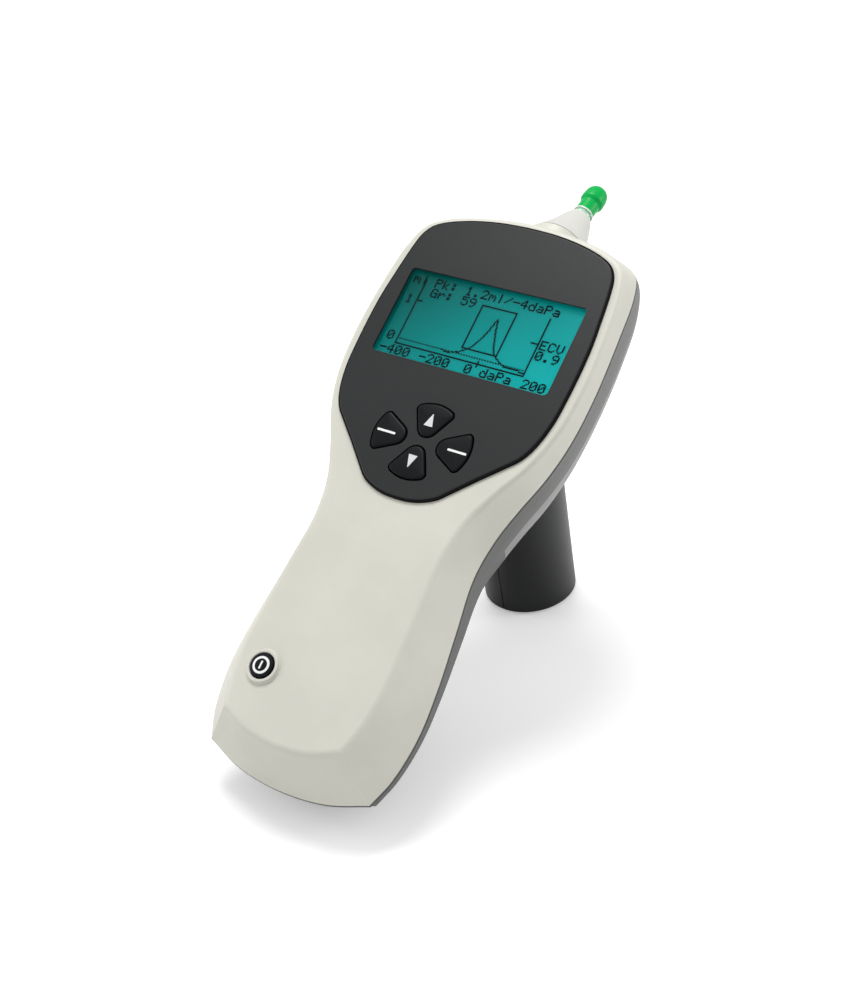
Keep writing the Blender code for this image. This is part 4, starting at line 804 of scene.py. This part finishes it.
displayForm = {
    "pitchX": 0.000474, "pitchY": 0.000457, "left": -0.0308, "top": 0.0312, "fill": 1.30, "level": -0.00188,
    "thickness": 0.00002, "letterPitch": 6, "letterColumns": 5, "glassMargin": 0.0016, "glassLow": -0.0032,
    "glassGap": 0.00001,
}
dotFont = {
    "0": (14, 17, 19, 21, 25, 17, 14), "1": (4, 12, 4, 4, 4, 4, 14), "2": (14, 17, 1, 2, 4, 8, 31),
    "4": (2, 6, 10, 18, 31, 2, 2), "5": (31, 16, 30, 1, 1, 17, 14), "9": (14, 17, 17, 15, 1, 2, 12),
    "m": (0, 0, 26, 21, 21, 17, 17), "l": (4, 4, 4, 4, 4, 4, 4), "P": (30, 17, 17, 30, 16, 16, 16),
    "k": (16, 16, 18, 20, 24, 20, 18), ":": (0, 12, 12, 0, 12, 12, 0), "G": (14, 17, 16, 23, 17, 17, 15),
    "r": (0, 0, 22, 25, 16, 16, 16), ".": (0, 0, 0, 0, 0, 12, 12), "/": (0, 1, 2, 4, 8, 16, 0),
    "-": (0, 0, 0, 31, 0, 0, 0), "d": (1, 1, 13, 19, 17, 17, 15), "a": (0, 0, 14, 1, 15, 17, 15),
    "E": (31, 16, 16, 30, 16, 16, 31), "C": (14, 17, 16, 16, 16, 17, 14), "V": (17, 17, 17, 17, 17, 10, 4),
    " ": (0, 0, 0, 0, 0, 0, 0),
}
chartWords = (("ml", 1, 1), ("Pk: 1.2ml/-4daPa", 18, 1), ("Gr: 59", 18, 9), ("1", 2, 17), ("0", 2, 47),
              ("-400", 1, 57), ("-200", 32, 57), ("0", 67, 57), ("daPa", 79, 57), ("200", 110, 57),
              ("ECV", 110, 27), ("0.9", 110, 35))
# Lines from column, row to column, row; the dotted line: its row, first column, end and step
chartLines = ((10, 4, 10, 55), (11, 20, 14, 20), (10, 55, 108, 55), (108, 10, 108, 55), (103, 30, 107, 30),
              (74, 53, 74, 57), (58, 12, 84, 12), (58, 46, 84, 46), (58, 12, 58, 46), (84, 12, 84, 46))
chartDotted = (51, 12, 108, 2)
chartCurve = ((44, 51), (50, 52), (56, 50), (60, 48), (64, 44), (67, 39), (69, 34), (71, 28), (72, 23),
              (73, 20), (74, 22), (75, 27), (77, 33), (79, 39), (81, 44), (84, 47), (88, 50), (93, 52),
              (100, 52), (107, 53))


def dotsAlong(x0, y0, x1, y1):
    count = max(abs(x1 - x0), abs(y1 - y0), 1)
    return {(round(x0 + (x1 - x0) * i / count), round(y0 + (y1 - y0) * i / count)) for i in range(count + 1)}


def makeDisplayDots():
    d = displayForm
    row, first, end, step = chartDotted
    dots = {(x, row) for x in range(first, end, step)}
    for word, left, top in chartWords:
        for i, letter in enumerate(word):
            for row, bits in enumerate(dotFont[letter]):
                lit = [n for n in range(d["letterColumns"]) if bits >> (d["letterColumns"] - 1 - n) & 1]
                dots |= {(left + i * d["letterPitch"] + n, top + row) for n in lit}
    for line in chartLines:
        dots |= dotsAlong(*line)
    for (x0, y0), (x1, y1) in zip(chartCurve, chartCurve[1:]):
        dots |= dotsAlong(x0, y0, x1, y1)
    size = Matrix.Diagonal((d["pitchX"] * d["fill"], d["pitchY"] * d["fill"], d["thickness"], 1))
    bm = bmesh.new()
    for x, y in sorted(dots):
        at = Matrix.Translation((d["left"] + (x + 0.5) * d["pitchX"], d["top"] - (y + 0.5) * d["pitchY"],
                                 d["level"] + d["thickness"] / 2))
        bmesh.ops.create_cube(bm, size=1, matrix=at @ size)
    slab = prism(windowOutline(d["glassMargin"]), d["glassLow"], d["level"] - d["glassGap"])
    glass = meshFrom("displayGlass", slab, placeOnBody)
    finishPiece(glass, "case", "display_teal", ["lcd_glass"])
    chart = meshFrom("displayDots", bm, placeOnBody)
    finishPiece(chart, "case", "display_teal", finish=inkDark)
    print("display drawn with", len(dots), "dots")


# Leg

legForm = {
    "halfWidth": 0.0152, "halfDepth": 0.0185, "top": -0.0393, "lean": radians(24.1), "power": 2.00,
    "steps": 128, "footStand": 0.0006, "edge": 0.0010, "edgeSteps": 5, "wall": 0.0022, "wallTop": 0.0040,
    "seam": 0.00015, "sharp": 30,
    # Rows: inset of the foot pad from the shells, and height above the floor
    "padRows": ((0.0007, 0), (0.0002, 0.0002), (0, 0.0006), (0, 0.0026)),
}


def legRing(inset, height, top=None):
    g = legForm
    line = Vector((0, -sin(g["lean"]), -cos(g["lean"])))
    down = Vector((0, -sin(stance["tilt"]), -cos(stance["tilt"])))
    forward = Vector((0, cos(stance["tilt"]), -sin(stance["tilt"])))
    foot = toBody @ Vector((0, 0, 0))
    ring = []
    for i in range(g["steps"]):
        x, y = cos(2 * pi * i / g["steps"]), sin(2 * pi * i / g["steps"])
        size = (abs(x) ** g["power"] + abs(y) ** g["power"]) ** (-1 / g["power"])
        spot = foot - line * (height / line.dot(down)) + Vector((x * size * (g["halfWidth"] - inset), 0, 0))
        spot += forward * (y * size * (g["halfDepth"] - inset))
        if top is not None:
            spot -= line * ((top - spot.z) / -line.z)
        ring.append(spot)
    return ring


def makeLeg():
    g = legForm
    edge, stand = g["edge"], g["footStand"]
    rings = [legRing(g["wall"], 0, g["top"] - g["wallTop"]), legRing(g["wall"], stand)]
    rings += [legRing(edge * (1 - sin(a)), stand + edge * (1 - cos(a))) for a in quarterTurn(g["edgeSteps"])]
    rings += [legRing(0, 0, g["top"])]
    for name, side in (("left", -1), ("right", 1)):
        bm = skin(rings)
        whole, middle = bm.verts[:] + bm.edges[:] + bm.faces[:], (side * g["seam"], 0, 0)
        cut = bmesh.ops.bisect_plane(bm, geom=whole, plane_co=middle, plane_no=(-side, 0, 0),
                                     clear_outer=True)
        rim = [e for e in cut["geom_cut"] if isinstance(e, bmesh.types.BMEdge)]
        bmesh.ops.holes_fill(bm, edges=rim, sides=0)
        shell = meshFrom(name + "LegShell", bm, placeOnBody)
        finishPiece(shell, "case", "leg_grey", [name + "_leg_shell"], g["sharp"])
    inset = g["wall"] + g["seam"] * 2
    footRings = [legRing(inset + out, height) for out, height in g["padRows"]]
    heelRings = [atHeight(padOutline(out), height) for out, height in padForm["rows"]]
    for name, rings, place, node in (("footPad", footRings, placeOnBody, "leg_foot_pad"),
                                     ("heelPad", heelRings, placeOnPad, "heel_pad")):
        finishPiece(meshFrom(name, skin(rings), place), "case", "rubber_black", [node])
    print("leg and pads made")


# Probe: places along the probe's own axis, zero at its start in the head

probeForm = {
    "collar": 0.0112, "bore": 0.0090, "lip": 0.0070, "lipThick": 0.0014, "back": -0.0080, "front": 0.0040,
    "flange": 0.0006, "flangeThick": 0.0015, "collarRound": 0.0005, "steps": 96, "tipSteps": 72,
    "opening": 0.0115, "openingReach": (-0.0080, 0.0152),
    "coneBase": 0.0043, "coneNeck": 0.0199, "mouth": 0.0041, "wall": 0.0016, "spigot": 0.0050,
    "spigotGap": 0.0004, "leastBore": 0.0025,
    # Rows: share of the way along, share of the way from the slim end to the wide one
    "coneRows": ((0, 0.950), (0.060, 0.880), (0.160, 0.770), (0.300, 0.620), (0.460, 0.460), (0.640, 0.310),
                 (0.800, 0.190), (0.920, 0.080), (1, 0)),
    # Rows: radius and height of the nozzle's tube, of its head, of its foot and of its root
    "nozzle": 0.0034, "nozzleTop": 0.0225, "nozzleGap": 0.0003,
    "tubeRows": ((0.0007, 0.0050), (0.0014, 0.0050), (0.0016, 0.0047), (0.0016, 0)),
    "topRows": ((-0.0002, 0), (0, -0.0002), (0, -0.0005), (-0.0004, -0.0006)),
    "footRows": ((-0.0004, 0.0008), (0, 0.0007), (0.0002, 0.0005), (0.0002, 0)),
    "rootRows": ((0.0022, 0), (0.0022, -0.0036), (0.0007, -0.0036)),
    "rimRows": ((-0.0003, -0.0004), (-0.0003, 0.0001), (0.0001, 0.0001), (0.0001, -0.0004)),
    "tipBase": 0.0228, "tipLength": 0.0121, "stem": 0.0033, "cap": 0.0041, "tipBore": 0.0019,
    "tipHole": 0.0010, "tipBoreEnd": 0.0278, "mouthRows": ((0.0010, -0.0003), (0.0012, 0)), "tipSharp": 50,
    # Rows: share of the tip's length, share of the way from stem to cap
    "tipRows": ((0, 0), (0.33, 0), (0.37, 0.10), (0.41, 0.50), (0.45, 0.88), (0.50, 1), (0.57, 1),
                (0.64, 0.96), (0.71, 0.86), (0.78, 0.66), (0.85, 0.30), (0.91, -0.30), (0.96, -1.10),
                (0.995, -1.90)),
}


def makeTurned(name, profile, steps, body, slot, nodes=(), **values):
    piece = meshFrom(name, spun(profile, steps, closed=True), placeOnProbe)
    finishPiece(piece, body, slot, nodes, **values)


def makeProbe():
    q = probeForm
    radius, bore, lip, front, back = q["collar"], q["bore"], q["lip"], q["front"], q["back"]
    flange, flangeTop, lipTop = radius + q["flange"], back + q["flangeThick"], back + q["lipThick"]
    profile = [(bore, front), (radius, front), (radius, flangeTop), (flange, flangeTop), (flange, back),
               (lip, back), (lip, lipTop), (bore, lipTop), (bore, front)]
    ring = softProfile(profile, q["collarRound"])[:-1]
    makeTurned("probeCollar", ring, q["steps"], "case", "cream_case", ["probe_collar"])

    base, neck, mouth = q["coneBase"], q["coneNeck"], q["mouth"]
    rows = [Vector((mouth + b * (radius - mouth), base + a * (neck - base))) for a, b in q["coneRows"]]
    outer = [tuple(v) for v in reversed(smoothLine(rows, 6))]
    spigot, wall, root = q["bore"] - q["spigotGap"], q["wall"], base - q["spigot"]
    inner = [(min(max(r - wall, q["leastBore"]), spigot - wall), z) for r, z in smoothLine(rows, 3)]
    profile = outer + [(spigot, base), (spigot, root), (spigot - wall, root)] + inner
    makeTurned("noseCone", profile, q["steps"], "cone", "cone_white", ["nose_cone"])

    low, top, r = neck + q["nozzleGap"], q["nozzleTop"], q["nozzle"]
    profile = rowsFrom(q["tubeRows"], 0, top) + rowsFrom(q["topRows"], r, top)
    profile += rowsFrom(q["footRows"], r, low) + rowsFrom(q["rootRows"], 0, low)
    makeTurned("clearNozzle", profile, q["tipSteps"], "cone", "clear_nozzle", ["probe_tip"])
    makeTurned("nozzleRim", rowsFrom(q["rimRows"], r, top), q["tipSteps"], "cone", "clear_nozzle",
               finish=finishes["white_plastic"])

    start, length, stem, swell = q["tipBase"], q["tipLength"], q["stem"], q["cap"] - q["stem"]
    rows = [Vector((stem + b * swell, start + a * length)) for a, b in q["tipRows"]]
    outer = [tuple(v) for v in reversed(smoothLine(rows, 5))]
    profile = rowsFrom(q["mouthRows"], 0, start + length) + outer + [
        (q["tipBore"], start), (q["tipBore"], q["tipBoreEnd"]), (q["tipHole"], q["tipBoreEnd"])]
    makeTurned("earTip", profile, q["tipSteps"], "tip", "tip_green", ["ear_tip"], sharp=q["tipSharp"])
    print("probe made")


def makeScrews():
    s = screwForm
    slot = rectangle(s["slotHalf"], -s["slotWidth"], s["slotWidth"], s["slotRound"], s["slotSteps"])
    low, top = s["slotReach"]
    for name, shell, x, y, bottom in s["spots"]:
        level, place = caseForm[bottom], screwPlace(x, y)
        profile = rowsFrom(s["rows"], 0, level)
        screw = meshFrom(name.replace("case_screw_", "caseScrew"), spun(profile, s["steps"]), place)
        for turn in (0, pi / 2):
            cutHole(screw, slot, place @ Matrix.Rotation(turn, 4, "Z"), level + low, level + top)
        finishPiece(screw, "case", "bare_steel", [name])
    print("screws made")


# Floor, light and camera

studio = {
    "floorColour": (0.86, 0.86, 0.86), "floorSize": 3.0, "floorGlow": 0.32, "floorRoughness": 0.9,
    "worldLevel": 0.62, "aim": (0.0, -0.05, 0.07),
    # Rows: name, place, size and power
    "lamps": (("overhead", (-0.25, 0.15, 1.15), 0.60, 9.0), ("leftFill", (-1.00, -0.55, 0.45), 0.60, 2.2),
              ("rightRim", (0.80, 0.55, 0.35), 0.50, 2.8)),
}


def makeStudio():
    mesh = bpy.data.meshes.new("floor")
    bm = bmesh.new()
    bmesh.ops.create_grid(bm, x_segments=1, y_segments=1, size=studio["floorSize"])
    bm.to_mesh(mesh)
    bm.free()
    floor = newObject("floor", mesh)
    finish, nodes, links, shader = newFinish("paleFloor")
    shader.inputs["Base Color"].default_value = (*studio["floorColour"], 1)
    shader.inputs["Roughness"].default_value = studio["floorRoughness"]
    shader.inputs["Specular IOR Level"].default_value = 0.0
    # The floor glows only for the camera, so it stays pale and still takes a shadow
    paths = addNode(nodes, "ShaderNodeLightPath")
    either = addNode(nodes, "ShaderNodeMath", operation="MAXIMUM")
    links.new(paths.outputs["Is Camera Ray"], either.inputs[0])
    links.new(paths.outputs["Is Transmission Ray"], either.inputs[1])
    glow = addNode(nodes, "ShaderNodeMath", operation="MULTIPLY")
    glow.inputs[1].default_value = studio["floorGlow"]
    links.new(either.outputs[0], glow.inputs[0])
    shader.inputs["Emission Color"].default_value = (1, 1, 1, 1)
    links.new(glow.outputs[0], shader.inputs["Emission Strength"])
    mesh.materials.append(finish)

    world = bpy.data.worlds.new("studioWorld")
    bpy.context.scene.world = world
    world.use_nodes = True
    nodes, links = world.node_tree.nodes, world.node_tree.links
    back = nodes["Background"]
    back.inputs["Color"].default_value = (1, 1, 1, 1)
    paths = addNode(nodes, "ShaderNodeLightPath")
    level = addNode(nodes, "ShaderNodeMapRange")
    level.inputs["To Min"].default_value = studio["worldLevel"]
    level.inputs["To Max"].default_value = 1.0
    links.new(paths.outputs["Is Camera Ray"], level.inputs["Value"])
    links.new(level.outputs["Result"], back.inputs["Strength"])

    for name, spot, size, power in studio["lamps"]:
        light = bpy.data.lights.new(name, "AREA")
        light.shape = "DISK"
        light.size = size
        light.energy = power
        lamp = newObject(name, light)
        lamp.location = spot
        lamp.rotation_euler = (Vector(studio["aim"]) - Vector(spot)).to_track_quat("-Z", "Y").to_euler()
    print("studio lit")


# Fitted to the outlines in the photograph; place and rows are in body axes
cameraForm = {
    "lens": 61.283, "sensor": 36.0, "clipStart": 0.01, "place": (0.2521, -0.1737, 0.4225),
    "rows": ((0.8362, 0.4260, -0.3454), (-0.2660, 0.8658, 0.4237), (0.4796, -0.2624, 0.8373)),
}


def makeCamera():
    lens = bpy.data.cameras.new("photoCamera")
    lens.lens = cameraForm["lens"]
    lens.sensor_width = cameraForm["sensor"]
    lens.clip_start = cameraForm["clipStart"]
    camera = newObject("photoCamera", lens)
    turn = Matrix(cameraForm["rows"]).transposed().to_4x4()
    camera.matrix_world = placeOnBody @ Matrix.Translation(cameraForm["place"]) @ turn
    bpy.context.scene.camera = camera
    bpy.context.scene.view_settings.view_transform = "Standard"


makeCamera()
makeUpperCase()
makeLowerShells()
makeFacePlate()
makeKeys()
makePowerButton()
makeDisplayDots()
makeLeg()
makeProbe()
makeScrews()
makeStudio()
